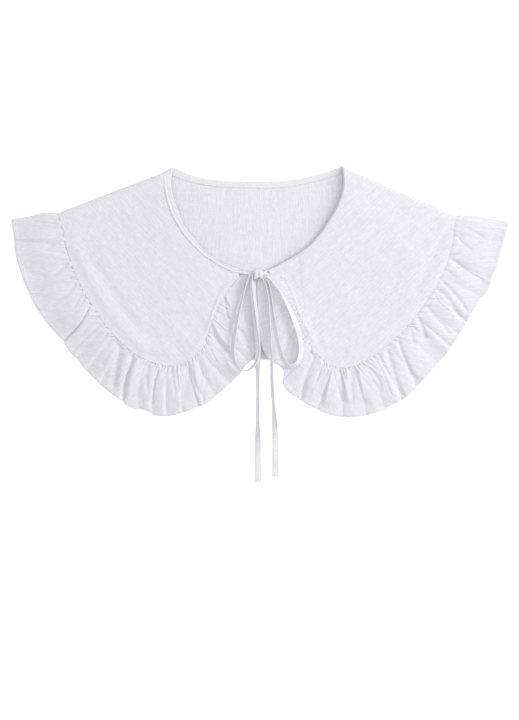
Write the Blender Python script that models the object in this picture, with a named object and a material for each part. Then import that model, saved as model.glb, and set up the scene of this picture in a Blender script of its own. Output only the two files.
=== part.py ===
"""Detachable cotton collar laid flat: fronts folded over the back, gathered ruffle, narrow bow.

Lengths in the tables are millimetres, measured right and down from the DATUM corner of the
layout, heights up from the table. The part is written in metres, +Z up, +Y towards the nape.
"""
import math
import bpy
import bmesh
import numpy as np

# Driving dimensions in millimetres
DATUM_RIGHT = 260.3
DATUM_DOWN = 291.0
PANEL_WALL = 1.2
RUFFLE_WALL = 1.0
BINDING_WALL = 1.6
SEAM_GAP = 0.5
TIE_WIDTH = 6.0
TIE_WALL = 1.8
FRONT_GATHERS = 64
GATHER_HEIGHT = 0.75
GATHER_REACH = 0.34
BACK_FOLD_HEIGHT = 2.3
BACK_RUFFLE_COLUMNS = 96
BACK_RUFFLE_GAP = 0.9
RUFFLE_DEPTH = 45.0
FOLD_GROWTH = 0.7
FOLD_BEND = 0.8
PUFF_HEIGHT = 0.9
PUFF_REACH = 0.8
CREST_CALM = 2.5
ALLOWANCE_RIDGE = 1.3
ALLOWANCE_IN = 13.0
ALLOWANCE_SPREAD = 6.5
PANEL_SAG = 0.8
ROLLED_NECK_GAP = 1.6
FLAT_NECK_GAP = 0.6
ROLLED_STRIP = 3.5
BINDING_END_WIDTH = 5.0
KNOT_LENGTH = 8.4
KNOT_DEPTH = 9.4
KNOT_HEIGHT = 6.8
KNOT_SLANT = 0.5
KNOT_TIP = 0.3
KNOT_GROOVE = 0.08
KNOT_WRAPS = 3

# Rows of points across the panel, a front ruffle and the back ruffle, as shares of the width
PANEL_ROWS = (0.0, 0.06, 0.16, 0.3, 0.46, 0.62, 0.76, 0.86, 0.93, 1.0)
FRONT_ROWS = (0.0, 0.09, 0.2, 0.36, 0.56, 0.78, 1.0)
BACK_ROWS = (0.0, 0.12, 0.3, 0.55, 0.8, 1.0)

# One row for each station round the collar, from the left centre front over the left
# shoulder fold, along the back and over the right fold to the right centre front.
# binding x y z, neck x y z, seam x y z, hem x y z
LEFT_FRONT = (
    (242.5, 271.5, 5.4, 238.5, 272.8, 5.6, 239.5, 277.0, 5.4, 252.8, 280.0, 3.8),
    (236.5, 268.9, 5.6, 233.0, 272.3, 6.0, 231.0, 286.0, 5.8, 257.9, 302.0, 3.6),
    (229.5, 266.0, 5.9, 225.5, 268.8, 6.4, 220.0, 303.0, 6.2, 258.1, 328.0, 4.5),
    (222.0, 262.7, 6.2, 218.0, 265.0, 6.8, 212.0, 323.0, 6.2, 251.5, 356.0, 4.4),
    (214.5, 258.2, 6.4, 210.5, 260.2, 7.2, 206.0, 342.0, 6.0, 237.0, 377.0, 2.2),
    (207.0, 252.8, 6.6, 203.0, 255.0, 7.6, 192.0, 359.0, 5.4, 201.0, 405.0, 0.9),
    (200.7, 247.0, 6.8, 196.5, 248.6, 8.0, 172.0, 366.5, 4.8, 160.0, 416.0, 0.8),
    (196.5, 241.8, 6.9, 192.0, 244.2, 8.2, 156.0, 364.0, 4.8, 128.0, 404.0, 0.8),
    (192.5, 236.8, 7.0, 187.5, 239.3, 8.4, 141.0, 358.0, 5.0, 98.0, 383.0, 0.8),
    (184.8, 226.6, 7.2, 179.7, 228.8, 8.8, 115.0, 337.0, 5.7, 64.0, 341.0, 1.3),
    (178.6, 211.9, 7.4, 171.6, 214.0, 9.2, 92.0, 306.0, 6.4, 38.0, 310.0, 3.8),
    (173.8, 198.6, 7.6, 166.8, 200.0, 9.4, 75.0, 274.0, 6.8, 22.0, 275.0, 5.0),
    (171.6, 186.0, 7.8, 164.2, 187.0, 9.2, 65.0, 243.0, 6.9, 15.0, 243.0, 5.2),
    (172.0, 175.0, 7.9, 163.4, 178.0, 8.8, 59.3, 218.5, 7.0, 12.4, 225.0, 5.4),
)
LEFT_FOLD = (
    (172.8, 168.8, 6.4, 162.8, 174.4, 7.4, 57.6, 214.6, 6.0, 11.6, 220.6, 4.6),
    (173.6, 167.2, 4.2, 163.2, 172.8, 4.7, 57.3, 213.2, 3.8, 11.5, 219.2, 3.0),
    (174.4, 167.2, 2.0, 165.6, 173.4, 2.0, 58.0, 214.6, 1.7, 12.0, 220.6, 1.4),
)
BACK = (
    (177.0, 168.4, 0.9, 171.0, 175.2, 0.6, 60.2, 219.0, 0.6, 14.0, 225.6, 0.6),
    (184.0, 171.6, 0.8, 179.5, 178.4, 0.6, 70.0, 240.0, 0.6, 20.0, 246.0, 0.6),
    (193.0, 174.8, 0.8, 189.0, 181.2, 0.6, 84.0, 262.0, 0.6, 32.0, 270.0, 0.6),
    (203.0, 177.7, 0.8, 200.0, 183.7, 0.6, 105.0, 283.0, 0.6, 51.0, 292.0, 0.6),
    (214.5, 179.4, 0.8, 212.0, 185.6, 0.6, 135.0, 300.0, 0.6, 88.0, 321.0, 0.6),
    (229.0, 180.5, 0.8, 227.0, 186.9, 0.6, 175.0, 311.0, 0.6, 140.0, 342.0, 0.6),
    (243.0, 181.0, 0.8, 242.0, 187.4, 0.6, 215.0, 314.5, 0.6, 198.0, 355.0, 0.6),
    (258.5, 181.2, 0.8, 258.5, 187.6, 0.6, 258.0, 315.0, 0.6, 257.0, 360.0, 0.6),
    (274.0, 181.0, 0.8, 275.0, 187.3, 0.6, 301.0, 314.5, 0.6, 318.0, 355.0, 0.6),
    (288.0, 179.8, 0.8, 290.0, 185.9, 0.6, 341.0, 311.0, 0.6, 378.0, 342.0, 0.6),
    (301.5, 177.9, 0.8, 304.0, 183.4, 0.6, 379.0, 300.0, 0.6, 429.0, 321.0, 0.6),
    (313.0, 175.2, 0.8, 315.5, 180.8, 0.6, 408.0, 283.0, 0.6, 466.0, 292.0, 0.6),
    (322.5, 172.8, 0.8, 325.0, 178.2, 0.6, 429.0, 262.0, 0.6, 487.0, 270.0, 0.6),
    (331.0, 170.0, 0.8, 333.0, 175.6, 0.6, 443.0, 241.0, 0.6, 499.0, 247.0, 0.6),
    (338.0, 167.6, 0.9, 340.0, 173.2, 0.6, 453.0, 221.0, 0.6, 506.5, 227.0, 0.6),
)
RIGHT_FOLD = (
    (342.2, 165.6, 2.0, 344.8, 169.4, 2.1, 456.3, 216.8, 1.7, 508.6, 222.6, 1.4),
    (343.0, 165.4, 4.4, 345.6, 168.0, 4.9, 457.0, 215.4, 3.8, 509.2, 221.0, 3.0),
    (342.2, 166.8, 5.6, 345.0, 168.8, 7.8, 456.6, 216.6, 6.0, 509.0, 222.4, 4.6),
)
RIGHT_FRONT = (
    (342.6, 171.8, 5.0, 345.4, 172.8, 9.4, 455.0, 220.5, 7.0, 508.0, 227.0, 5.4),
    (343.0, 180.6, 4.6, 345.6, 181.2, 10.0, 452.0, 243.0, 6.9, 503.0, 243.0, 5.2),
    (341.8, 192.2, 4.4, 344.4, 193.2, 10.2, 442.0, 274.0, 6.8, 494.0, 271.0, 5.0),
    (338.0, 205.6, 4.2, 340.4, 207.2, 10.0, 425.0, 303.0, 6.4, 478.0, 305.0, 3.8),
    (331.2, 218.0, 4.0, 333.4, 219.8, 9.6, 403.0, 331.0, 5.7, 454.0, 342.0, 1.3),
    (323.4, 229.0, 3.8, 325.6, 230.9, 9.0, 379.0, 352.0, 5.0, 428.0, 375.0, 0.8),
    (316.0, 236.6, 3.6, 318.1, 238.5, 8.6, 358.0, 365.0, 4.8, 395.0, 405.0, 0.8),
    (310.8, 241.2, 3.6, 312.9, 243.1, 8.2, 341.0, 368.0, 4.8, 350.0, 417.0, 0.8),
    (305.6, 246.0, 3.6, 307.6, 248.0, 7.8, 325.0, 362.0, 5.4, 308.0, 404.5, 0.9),
    (298.8, 250.8, 3.6, 300.6, 252.9, 7.4, 311.0, 346.0, 6.0, 284.0, 383.0, 2.2),
    (292.4, 255.2, 3.6, 294.1, 257.4, 7.0, 302.0, 329.0, 6.2, 270.0, 357.0, 4.4),
    (286.0, 258.8, 3.7, 287.7, 261.2, 6.6, 297.0, 310.0, 6.2, 260.4, 330.0, 4.5),
    (279.0, 262.8, 3.8, 280.4, 265.3, 6.2, 290.0, 291.0, 5.8, 259.9, 303.0, 3.6),
    (271.6, 266.8, 4.2, 273.4, 269.7, 5.8, 277.5, 275.0, 5.4, 260.6, 281.0, 3.8),
)

# Valleys between the folds of the left ruffle, in percent of the way from the shoulder
# to the centre front. Height, lean and reach past the hem line belong to the fold that
# follows the valley.
# at the seam, at the hem, height, lean, reach
LEFT_FOLDS = (
    (-4.0, -4.0, 1.2, 0.0, 0.0),
    (3.2, 2.8, 2.4, 1.4, 0.0),
    (8.0, 6.8, 3.4, -1.5, 0.8),
    (13.0, 14.5, 2.8, 1.0, 0.0),
    (17.0, 20.0, 2.6, 1.0, 0.0),
    (20.5, 27.5, 4.0, 2.6, 0.8),
    (25.5, 35.5, 3.6, -2.2, 3.4),
    (31.0, 40.2, 3.4, 1.4, 0.0),
    (35.0, 43.5, 3.8, 1.8, -0.8),
    (39.5, 47.2, 4.4, 2.2, 0.0),
    (44.5, 52.6, 3.6, -1.6, 1.6),
    (49.0, 55.8, 2.8, 1.0, -1.6),
    (54.0, 58.6, 3.2, 1.2, 0.0),
    (58.0, 61.4, 3.6, 1.6, 0.0),
    (62.0, 64.6, 2.8, -1.0, 0.0),
    (66.0, 67.8, 3.8, -1.6, 1.0),
    (69.5, 71.6, 2.6, 0.8, 0.0),
    (73.0, 75.2, 2.8, 1.2, 0.0),
    (77.5, 78.4, 3.2, 1.6, -1.4),
    (82.0, 81.4, 1.6, -1.2, 0.0),
    (86.0, 86.0, 1.2, 0.6, 0.0),
    (90.0, 90.6, 0.9, 0.4, 0.0),
    (94.5, 95.4, 0.7, 0.2, 0.0),
    (98.5, 98.5, 0.6, 0.0, 0.0),
    (102.0, 102.0, 0.4, 0.0, 0.0),
)
# The same for the right ruffle.
RIGHT_FOLDS = (
    (-4.0, -4.0, 1.2, 0.0, 0.0),
    (0.5, 0.5, 3.0, 0.6, 0.0),
    (5.0, 6.2, 2.6, 1.4, 1.2),
    (10.0, 17.0, 3.2, -1.8, 2.8),
    (14.8, 21.6, 3.4, 1.6, -1.2),
    (19.5, 28.4, 3.2, -1.8, 0.0),
    (24.0, 31.8, 2.8, 1.2, 0.8),
    (28.0, 35.2, 3.8, -1.8, 1.2),
    (33.5, 40.0, 3.6, 1.8, 0.0),
    (39.5, 45.6, 3.2, 1.4, 0.0),
    (44.5, 50.4, 3.6, -1.8, -1.4),
    (50.0, 54.0, 2.6, 1.0, 0.0),
    (54.5, 57.2, 3.0, 1.2, 0.0),
    (60.0, 61.4, 3.8, 1.6, 0.8),
    (64.5, 66.0, 3.4, -1.2, 0.0),
    (70.0, 71.0, 3.6, 1.8, 1.2),
    (73.5, 75.6, 2.8, -1.4, -2.4),
    (78.0, 79.6, 2.4, 1.2, 0.0),
    (82.5, 84.0, 1.3, -0.6, 0.0),
    (87.0, 88.2, 1.0, 0.4, 0.0),
    (92.0, 93.0, 0.8, 0.2, 0.0),
    (97.0, 97.5, 0.6, 0.0, 0.0),
    (102.0, 102.0, 0.4, 0.0, 0.0),
)
# Hidden folds of the back ruffle: at the seam, at the hem, share of the full height
BACK_FOLDS = (
    (-5.0, -5.0, 0.6),
    (4.0, 3.6, 0.9),
    (8.4, 9.0, 1.0),
    (13.6, 13.0, 0.8),
    (18.0, 18.8, 1.0),
    (23.2, 23.0, 0.7),
    (27.4, 28.2, 1.0),
    (33.0, 33.0, 0.9),
    (37.6, 38.4, 1.0),
    (42.8, 42.4, 0.8),
    (46.8, 47.6, 1.0),
    (52.6, 52.0, 1.0),
    (57.4, 58.2, 0.8),
    (62.8, 62.6, 1.0),
    (67.2, 68.0, 0.9),
    (72.8, 72.2, 1.0),
    (77.0, 78.0, 0.7),
    (82.4, 82.0, 1.0),
    (86.8, 87.8, 0.9),
    (92.0, 91.6, 1.0),
    (96.4, 97.0, 0.6),
    (105.0, 105.0, 0.5),
)

# Where the two ends of the binding meet the knot, and the middle of the knot: x y z
BINDING_ENDS = (
    (253.2, 274.0, 6.0),
    (263.2, 273.8, 6.0),
)
KNOT_CENTRE = (258.6, 274.2, 8.4)

# Routes of the ties: x y z, turn of the strip in degrees about its own length
LOOP_LEFT = (
    (250.2, 273.4, 10.2, 92),
    (248.8, 277.6, 10.4, 92),
    (246.4, 284.0, 10.4, 92),
    (243.2, 296.0, 10.6, 98),
    (239.2, 312.0, 11.0, 112),
    (235.6, 330.0, 11.4, 124),
    (233.2, 346.0, 11.8, 128),
    (234.2, 359.0, 11.6, 122),
    (238.4, 367.4, 10.8, 106),
    (245.6, 370.8, 10.6, 88),
    (252.6, 367.0, 10.8, 76),
    (257.8, 358.6, 11.6, 74),
    (259.0, 346.0, 12.0, 76),
    (257.6, 330.0, 12.0, 78),
    (255.0, 313.0, 11.7, 80),
    (253.2, 298.0, 11.2, 84),
    (252.2, 288.0, 10.8, 88),
    (252.0, 280.0, 10.4, 90),
    (252.4, 275.6, 10.4, 90),
)
LOOP_RIGHT = (
    (266.4, 279.4, 9.8, 90),
    (268.2, 282.6, 10.0, 90),
    (269.8, 288.0, 10.3, 92),
    (271.1, 295.0, 10.6, 94),
    (272.2, 304.0, 10.9, 100),
    (273.6, 316.0, 11.2, 114),
    (276.2, 334.0, 11.4, 128),
    (279.6, 349.0, 11.5, 128),
    (284.0, 360.4, 11.2, 128),
    (290.0, 366.2, 11.1, 132),
    (296.6, 363.8, 11.4, 140),
    (300.6, 354.0, 11.6, 148),
    (300.2, 340.0, 12.0, 152),
    (296.6, 326.0, 12.2, 148),
    (290.8, 312.0, 12.0, 134),
    (284.4, 299.0, 11.4, 118),
    (277.4, 287.6, 10.8, 106),
    (271.6, 281.0, 10.4, 98),
    (266.6, 276.4, 10.2, 94),
)
TAIL_LEFT = (
    (253.0, 281.4, 5.8, 184),
    (253.0, 289.0, 6.1, 184),
    (253.8, 300.0, 6.7, 186),
    (256.0, 322.0, 7.5, 190),
    (257.6, 344.0, 7.5, 188),
    (257.8, 356.0, 6.6, 186),
    (257.7, 364.0, 5.3, 158),
    (257.8, 374.0, 3.9, 126),
    (257.9, 388.0, 3.8, 118),
    (257.9, 404.0, 3.7, 118),
    (257.9, 422.0, 3.6, 122),
    (258.0, 434.0, 3.0, 146),
    (258.0, 446.0, 1.8, 172),
    (258.0, 464.0, 1.3, 180),
    (258.2, 482.0, 1.3, 180),
)
TAIL_RIGHT = (
    (262.6, 278.6, 9.4, 88),
    (264.6, 281.8, 9.6, 88),
    (266.6, 287.0, 9.9, 88),
    (267.9, 294.0, 10.3, 88),
    (268.9, 302.0, 10.6, 88),
    (269.5, 312.0, 10.9, 88),
    (270.4, 328.0, 11.0, 90),
    (271.3, 344.0, 11.0, 94),
    (271.8, 358.0, 10.8, 104),
    (271.9, 367.0, 9.4, 112),
    (272.0, 380.0, 5.7, 118),
    (272.8, 394.0, 4.0, 120),
    (274.0, 410.0, 3.6, 126),
    (274.8, 423.0, 2.8, 148),
    (275.2, 434.0, 1.7, 172),
    (275.6, 452.0, 1.3, 180),
    (275.4, 476.0, 1.3, 180),
)

TABLE = np.array(LEFT_FRONT + LEFT_FOLD + BACK + RIGHT_FOLD + RIGHT_FRONT, dtype=float)
TABLE[:, 0::3] -= DATUM_RIGHT
TABLE[:, 1::3] = DATUM_DOWN - TABLE[:, 1::3]


def travelled(points):
    steps = np.linalg.norm(np.diff(points, axis=0), axis=1)
    return np.concatenate([[0.0], np.cumsum(steps)])


# Distance round the collar, the mean of the way along the seam and along the hem
ROUND = 0.5 * (travelled(TABLE[:, 6:9]) + travelled(TABLE[:, 9:12]))
LEFT_CREST = ROUND[15]
RIGHT_CREST = ROUND[33]
LEFT_TURN = ROUND[17]
RIGHT_TURN = ROUND[31]
LAST = ROUND[-1]
BODY_COLUMNS = np.concatenate([
    np.linspace(0.0, LEFT_CREST - 14, 26),
    np.linspace(LEFT_CREST - 8, LEFT_CREST + 8, 7),
    np.linspace(LEFT_CREST + 16, RIGHT_CREST - 16, 22),
    np.linspace(RIGHT_CREST - 8, RIGHT_CREST + 8, 7),
    np.linspace(RIGHT_CREST + 14, LAST, 26),
])


def through(knots, values, wanted, level=()):
    """A smooth curve through the rows of a table; the level columns never swing past a row."""
    spans = np.diff(knots)
    slopes = np.diff(values, axis=0) / spans[:, None]
    bends = np.empty_like(values)
    before = spans[:-1, None]
    after = spans[1:, None]
    bends[1:-1] = (slopes[:-1] * after + slopes[1:] * before) / (before + after)
    bends[0] = slopes[0]
    bends[-1] = slopes[-1]
    for column in level:
        first = slopes[:-1, column]
        second = slopes[1:, column]
        both = first * second
        eased = 2 * both / np.where(both > 0, first + second, 1.0)
        bends[1:-1, column] = np.where(both > 0, eased, 0.0)
    place = np.clip(np.searchsorted(knots, wanted, side="right") - 1, 0, len(spans) - 1)
    width = spans[place]
    part = ((wanted - knots[place]) / width)[:, None]
    width = width[:, None]
    start = values[place] * (1 + 2 * part) * (1 - part) ** 2
    end = values[place + 1] * part ** 2 * (3 - 2 * part)
    lead = bends[place] * width * part * (1 - part) ** 2
    trail = bends[place + 1] * width * part ** 2 * (part - 1)
    return start + end + lead + trail


def stations(wanted):
    rows = through(ROUND, TABLE, np.asarray(wanted, dtype=float), (2, 5, 8, 11))
    return rows[:, 0:3], rows[:, 3:6], rows[:, 6:9], rows[:, 9:12]


def unit(vectors):
    return vectors / np.maximum(np.linalg.norm(vectors, axis=-1, keepdims=True), 1e-9)


def bell(distance, middle, width):
    return np.exp(-((distance - middle) / width) ** 2)


def panel_grid(wanted, rows):
    """Middle surface of the body: neck edge at row 0, ruffle seam at the last row.

    The fronts sag a little, with the seam allowance as a soft ridge inside the ruffle seam.
    """
    _, neck, seam, _ = stations(wanted)
    width = np.linalg.norm(seam - neck, axis=1)
    share = np.asarray(rows, dtype=float)[:, None]
    grid = neck[None] * (1 - share[:, :, None]) + seam[None] * share[:, :, None]
    past_fold = np.maximum(LEFT_CREST - wanted, wanted - RIGHT_CREST) - 6
    front = np.clip(past_fold / 30, 0, 1) * np.clip(width / 60, 0, 1)
    ridge = ALLOWANCE_RIDGE * bell((1 - share) * width, ALLOWANCE_IN, ALLOWANCE_SPREAD)
    grid[:, :, 2] += front * (ridge - PANEL_SAG * np.sin(math.pi * share))
    return grid


def fold_wave(table, percent, share):
    """Height, sideways lean and outward reach of the folds at each row and column."""
    table = np.asarray(table, dtype=float)
    height = np.zeros((len(share), len(percent)))
    lean = np.zeros_like(height)
    reach = np.zeros_like(height)
    for row, part in enumerate(share):
        valleys = table[:, 0] + (table[:, 1] - table[:, 0]) * part ** FOLD_BEND
        place = np.clip(np.searchsorted(valleys, percent, side="right") - 1, 0, len(valleys) - 2)
        inside = (percent - valleys[place]) / (valleys[place + 1] - valleys[place])
        swell = np.sin(math.pi * np.clip(inside, 0, 1))
        growth = math.sin(0.5 * math.pi * min(1.0, part / FOLD_GROWTH))
        height[row] = table[place, 2] * growth * swell
        lean[row] = table[place, 3] * growth * swell
        reach[row] = table[place, 4] * part ** 2 * np.sqrt(swell)
    return height, lean, reach


def ruffle_grid(wanted, percent, table, share, gathers, face):
    """Middle surface of a ruffle: seam at row 0, hem at the last row.

    Face is 1 where the inner side looks up (back) and -1 where it looks down (fronts).
    """
    hem = stations(wanted)[3]
    edge = stations(BODY_COLUMNS)[2]
    seam = np.stack([np.interp(wanted, BODY_COLUMNS, edge[:, k]) for k in range(3)], axis=1)
    along = unit(np.gradient(hem, axis=0) + np.gradient(seam, axis=0))
    outward = unit(hem - seam)
    upward = face * unit(np.cross(outward, along))
    onward = along * (1.0 if percent[-1] > percent[0] else -1.0)
    part = np.asarray(share, dtype=float)[:, None]
    height, lean, reach = fold_wave(table, percent, part[:, 0])
    room = np.clip(np.linalg.norm(hem - seam, axis=1) / RUFFLE_DEPTH, 0.25, 1.0)
    if face < 0:
        room = room * np.clip(percent / CREST_CALM, 0, 1)
    zigzag = np.where(np.arange(len(wanted)) % 2 == 0, 1.0, -1.0)
    fade = np.clip(1 - part / GATHER_REACH, 0, 1)
    puff = PUFF_HEIGHT * np.sin(math.pi * np.clip(part / PUFF_REACH, 0, 1))
    lift = (height + gathers * fade * zigzag + puff) * room
    grid = seam[None] + (hem - seam)[None] * part[:, :, None]
    grid = grid + outward[None] * (SEAM_GAP * (1 - part) + reach * room)[:, :, None]
    grid = grid + upward[None] * lift[:, :, None]
    grid = grid + onward[None] * (lean * room)[:, :, None]
    return grid


def paint(name, hex_colour, roughness):
    channels = [int(hex_colour[k:k + 2], 16) / 255 for k in (0, 2, 4)]
    linear = [c / 12.92 if c <= 0.04045 else ((c + 0.055) / 1.055) ** 2.4 for c in channels]
    material = bpy.data.materials.new(name)
    material.use_nodes = True
    shader = material.node_tree.nodes["Principled BSDF"]
    shader.inputs["Base Color"].default_value = (*linear, 1.0)
    shader.inputs["Roughness"].default_value = roughness
    shader.inputs["Metallic"].default_value = 0.0
    return material


def solid(name, points, faces, material):
    mesh = bpy.data.meshes.new(name)
    mesh.from_pydata([tuple(p) for p in np.asarray(points) / 1000.0], [], faces)
    form = bmesh.new()
    form.from_mesh(mesh)
    bmesh.ops.recalc_face_normals(form, faces=form.faces)
    form.to_mesh(mesh)
    form.free()
    mesh.materials.append(material)
    for polygon in mesh.polygons:
        polygon.use_smooth = True
    item = bpy.data.objects.new(name, mesh)
    bpy.context.scene.collection.objects.link(item)
    return item


def upright(normal, towards):
    """Turns the edge of a wall square to the horizontal direction it faces."""
    flat = towards * np.array([1.0, 1.0, 0.0])
    steady = np.linalg.norm(flat, axis=1, keepdims=True) > 0.5
    flat = unit(flat) * steady
    return unit(normal - flat * np.sum(normal * flat, axis=1, keepdims=True))


def wall(name, grid, thickness, material):
    """A closed wall of even thickness about a grid of middle points."""
    rows, columns = grid.shape[:2]
    normal = unit(np.cross(np.gradient(grid, axis=0), np.gradient(grid, axis=1)))
    normal[0] = upright(normal[0], grid[1] - grid[0])
    normal[-1] = upright(normal[-1], grid[-1] - grid[-2])
    half = 0.5 * thickness
    points = np.concatenate([(grid + normal * half).reshape(-1, 3), (grid - normal * half).reshape(-1, 3)])
    shift = rows * columns
    flat = grid.reshape(-1, 3)
    faces = []
    for r in range(rows - 1):
        for c in range(columns - 1):
            a = r * columns + c
            b = a + 1
            d = a + columns
            e = d + 1
            first = np.cross(flat[b] - flat[a], flat[e] - flat[a])
            second = np.cross(flat[e] - flat[a], flat[d] - flat[a])
            third = np.cross(flat[b] - flat[a], flat[d] - flat[a])
            fourth = np.cross(flat[e] - flat[b], flat[d] - flat[b])
            if np.dot(unit(first), unit(second)) >= np.dot(unit(third), unit(fourth)):
                pair = ((a, b, e), (a, e, d))
            else:
                pair = ((a, b, d), (b, e, d))
            for triangle in pair:
                faces.append(triangle)
                faces.append(tuple(k + shift for k in reversed(triangle)))
    border = list(range(columns))
    border += [r * columns + columns - 1 for r in range(1, rows)]
    border += [(rows - 1) * columns + c for c in range(columns - 2, -1, -1)]
    border += [r * columns for r in range(rows - 2, 0, -1)]
    for k, a in enumerate(border):
        b = border[(k + 1) % len(border)]
        faces.append((b, a, a + shift, b + shift))
    return solid(name, points, faces, material)


def ribbon(name, route, width, thickness, material, rings):
    """A narrow strip of box section along a route, turned about its own length."""
    rows = np.array(route, dtype=float)
    rows[:, 0] -= DATUM_RIGHT
    rows[:, 1] = DATUM_DOWN - rows[:, 1]
    knots = travelled(rows[:, :3])
    smooth = through(knots, rows, np.linspace(0, knots[-1], rings))
    path = smooth[:, :3]
    forward = unit(np.gradient(path, axis=0))
    side = unit(np.cross(forward, np.array([0.0, 0.0, 1.0])))
    top = unit(np.cross(side, forward))
    turn = np.radians(smooth[:, 3])[:, None]
    wide = side * np.cos(turn) + top * np.sin(turn)
    deep = unit(np.cross(wide, forward))
    points = []
    for w, d in ((-1, -1), (1, -1), (1, 1), (-1, 1)):
        points.append(path + wide * (0.5 * w * width) + deep * (0.5 * d * thickness))
    points = np.stack(points, axis=1).reshape(-1, 3)
    faces = [(3, 2, 1, 0)]
    for k in range(rings - 1):
        for j in range(4):
            a = 4 * k + j
            b = 4 * k + (j + 1) % 4
            faces.append((a, b, b + 4, a + 4))
    faces.append(tuple(4 * (rings - 1) + j for j in range(4)))
    return solid(name, points, faces, material)


def knot(name, material):
    """Three wraps of the strip drawn tight: a short grooved barrel lying across the front."""
    centre = np.array([KNOT_CENTRE[0] - DATUM_RIGHT, DATUM_DOWN - KNOT_CENTRE[1], KNOT_CENTRE[2]])
    rings = 17
    sides = 16
    points = []
    for place in np.linspace(-1, 1, rings):
        end = math.sqrt(max(0.0, 1 - abs(place) ** KNOT_WRAPS))
        groove = 1 + KNOT_GROOVE * math.cos(KNOT_WRAPS * math.pi * place)
        spread = (KNOT_TIP + (1 - KNOT_TIP) * end) * groove
        for angle in np.arange(sides) * 2 * math.pi / sides:
            points.append(centre + np.array([
                0.5 * KNOT_LENGTH * place + KNOT_SLANT * math.sin(angle),
                0.5 * KNOT_DEPTH * spread * math.sin(angle),
                0.5 * KNOT_HEIGHT * spread * math.cos(angle),
            ]))
    faces = [tuple(range(sides - 1, -1, -1))]
    for i in range(rings - 1):
        for j in range(sides):
            a = i * sides + j
            b = i * sides + (j + 1) % sides
            faces.append((a, b, b + sides, a + sides))
    faces.append(tuple((rings - 1) * sides + j for j in range(sides)))
    return solid(name, points, faces, material)


def body(material):
    return wall("collar_body", panel_grid(BODY_COLUMNS, PANEL_ROWS), PANEL_WALL, material)


def binding(material):
    """A strip past the neck edge, off it by a gap, rolled under at the right, led to the knot."""
    edge, neck, _, _ = stations(BODY_COLUMNS)
    outward = edge - neck
    outward[:, 2] = 0.0
    rolled = (np.linalg.norm(outward, axis=1) < ROLLED_STRIP)[:, None]
    start = neck + unit(outward) * np.where(rolled, ROLLED_NECK_GAP, FLAT_NECK_GAP)
    start[:, 2] = np.maximum(start[:, 2], 0.5 * BINDING_WALL)
    strip = np.stack([start, 0.5 * (start + edge), edge])
    ends = []
    for x, y, z in BINDING_ENDS:
        sides = np.linspace(-0.5, 0.5, 3) * BINDING_END_WIDTH
        end = [(x - DATUM_RIGHT, DATUM_DOWN - y + side, z) for side in sides]
        ends.append(np.array(end)[:, None])
    return wall("neck_binding", np.concatenate([ends[0], strip, ends[1]], axis=1), BINDING_WALL, material)


def left_ruffle(material):
    count = 2 * FRONT_GATHERS
    wanted = np.concatenate([
        np.linspace(0.0, LEFT_CREST - 9, count - 6),
        np.linspace(LEFT_CREST - 6, LEFT_TURN, 7),
    ])
    percent = 100 * (LEFT_CREST - wanted) / LEFT_CREST
    grid = ruffle_grid(wanted, percent, LEFT_FOLDS, FRONT_ROWS, GATHER_HEIGHT, -1)
    return wall("ruffle_left", grid, RUFFLE_WALL, material)


def right_ruffle(material):
    count = 2 * FRONT_GATHERS
    wanted = np.concatenate([
        np.linspace(RIGHT_TURN, RIGHT_CREST + 6, 7),
        np.linspace(RIGHT_CREST + 9, LAST, count - 6),
    ])
    percent = 100 * (wanted - RIGHT_CREST) / (LAST - RIGHT_CREST)
    grid = ruffle_grid(wanted, percent, RIGHT_FOLDS, FRONT_ROWS, GATHER_HEIGHT, -1)
    return wall("ruffle_right", grid, RUFFLE_WALL, material)


def back_ruffle(material):
    wanted = np.linspace(LEFT_TURN + BACK_RUFFLE_GAP, RIGHT_TURN - BACK_RUFFLE_GAP, BACK_RUFFLE_COLUMNS)
    percent = 100 * (wanted - wanted[0]) / (wanted[-1] - wanted[0])
    folds = [(seam, hem, share * BACK_FOLD_HEIGHT, 0.0, 0.0) for seam, hem, share in BACK_FOLDS]
    grid = ruffle_grid(wanted, percent, folds, BACK_ROWS, 0.0, 1)
    return wall("ruffle_back", grid, RUFFLE_WALL, material)


def main():
    for item in list(bpy.data.objects):
        bpy.data.objects.remove(item, do_unlink=True)
    body(paint("panel_cotton", "eceaf2", 0.9))
    binding(paint("binding_cotton", "e9e8f1", 0.9))
    left_ruffle(paint("ruffle_left_cotton", "e6e5ee", 0.9))
    right_ruffle(paint("ruffle_right_cotton", "e6e5ee", 0.9))
    back_ruffle(paint("ruffle_back_cotton", "e4e3ec", 0.9))
    knot("bow_knot", paint("knot_cotton", "eceaf2", 0.9))
    strips = (
        ("bow_loop_left", LOOP_LEFT, 34),
        ("bow_loop_right", LOOP_RIGHT, 34),
        ("tie_end_left", TAIL_LEFT, 30),
        ("tie_end_right", TAIL_RIGHT, 30),
    )
    for name, route, rings in strips:
        ribbon(name, route, TIE_WIDTH, TIE_WALL, paint(name + "_cotton", "eceaf2", 0.9), rings)


main()
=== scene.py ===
"""Looks of a detachable collar of white slubbed cotton, laid flat on a table: two fronts folded
over the back, a gathered ruffle round the outer edge, a bound neck and a narrow tie in a bow.

The tie's routes are in metres. Places on the layout are in millimetres, right and down from
its corner, with heights from the table.
"""
import math

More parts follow.
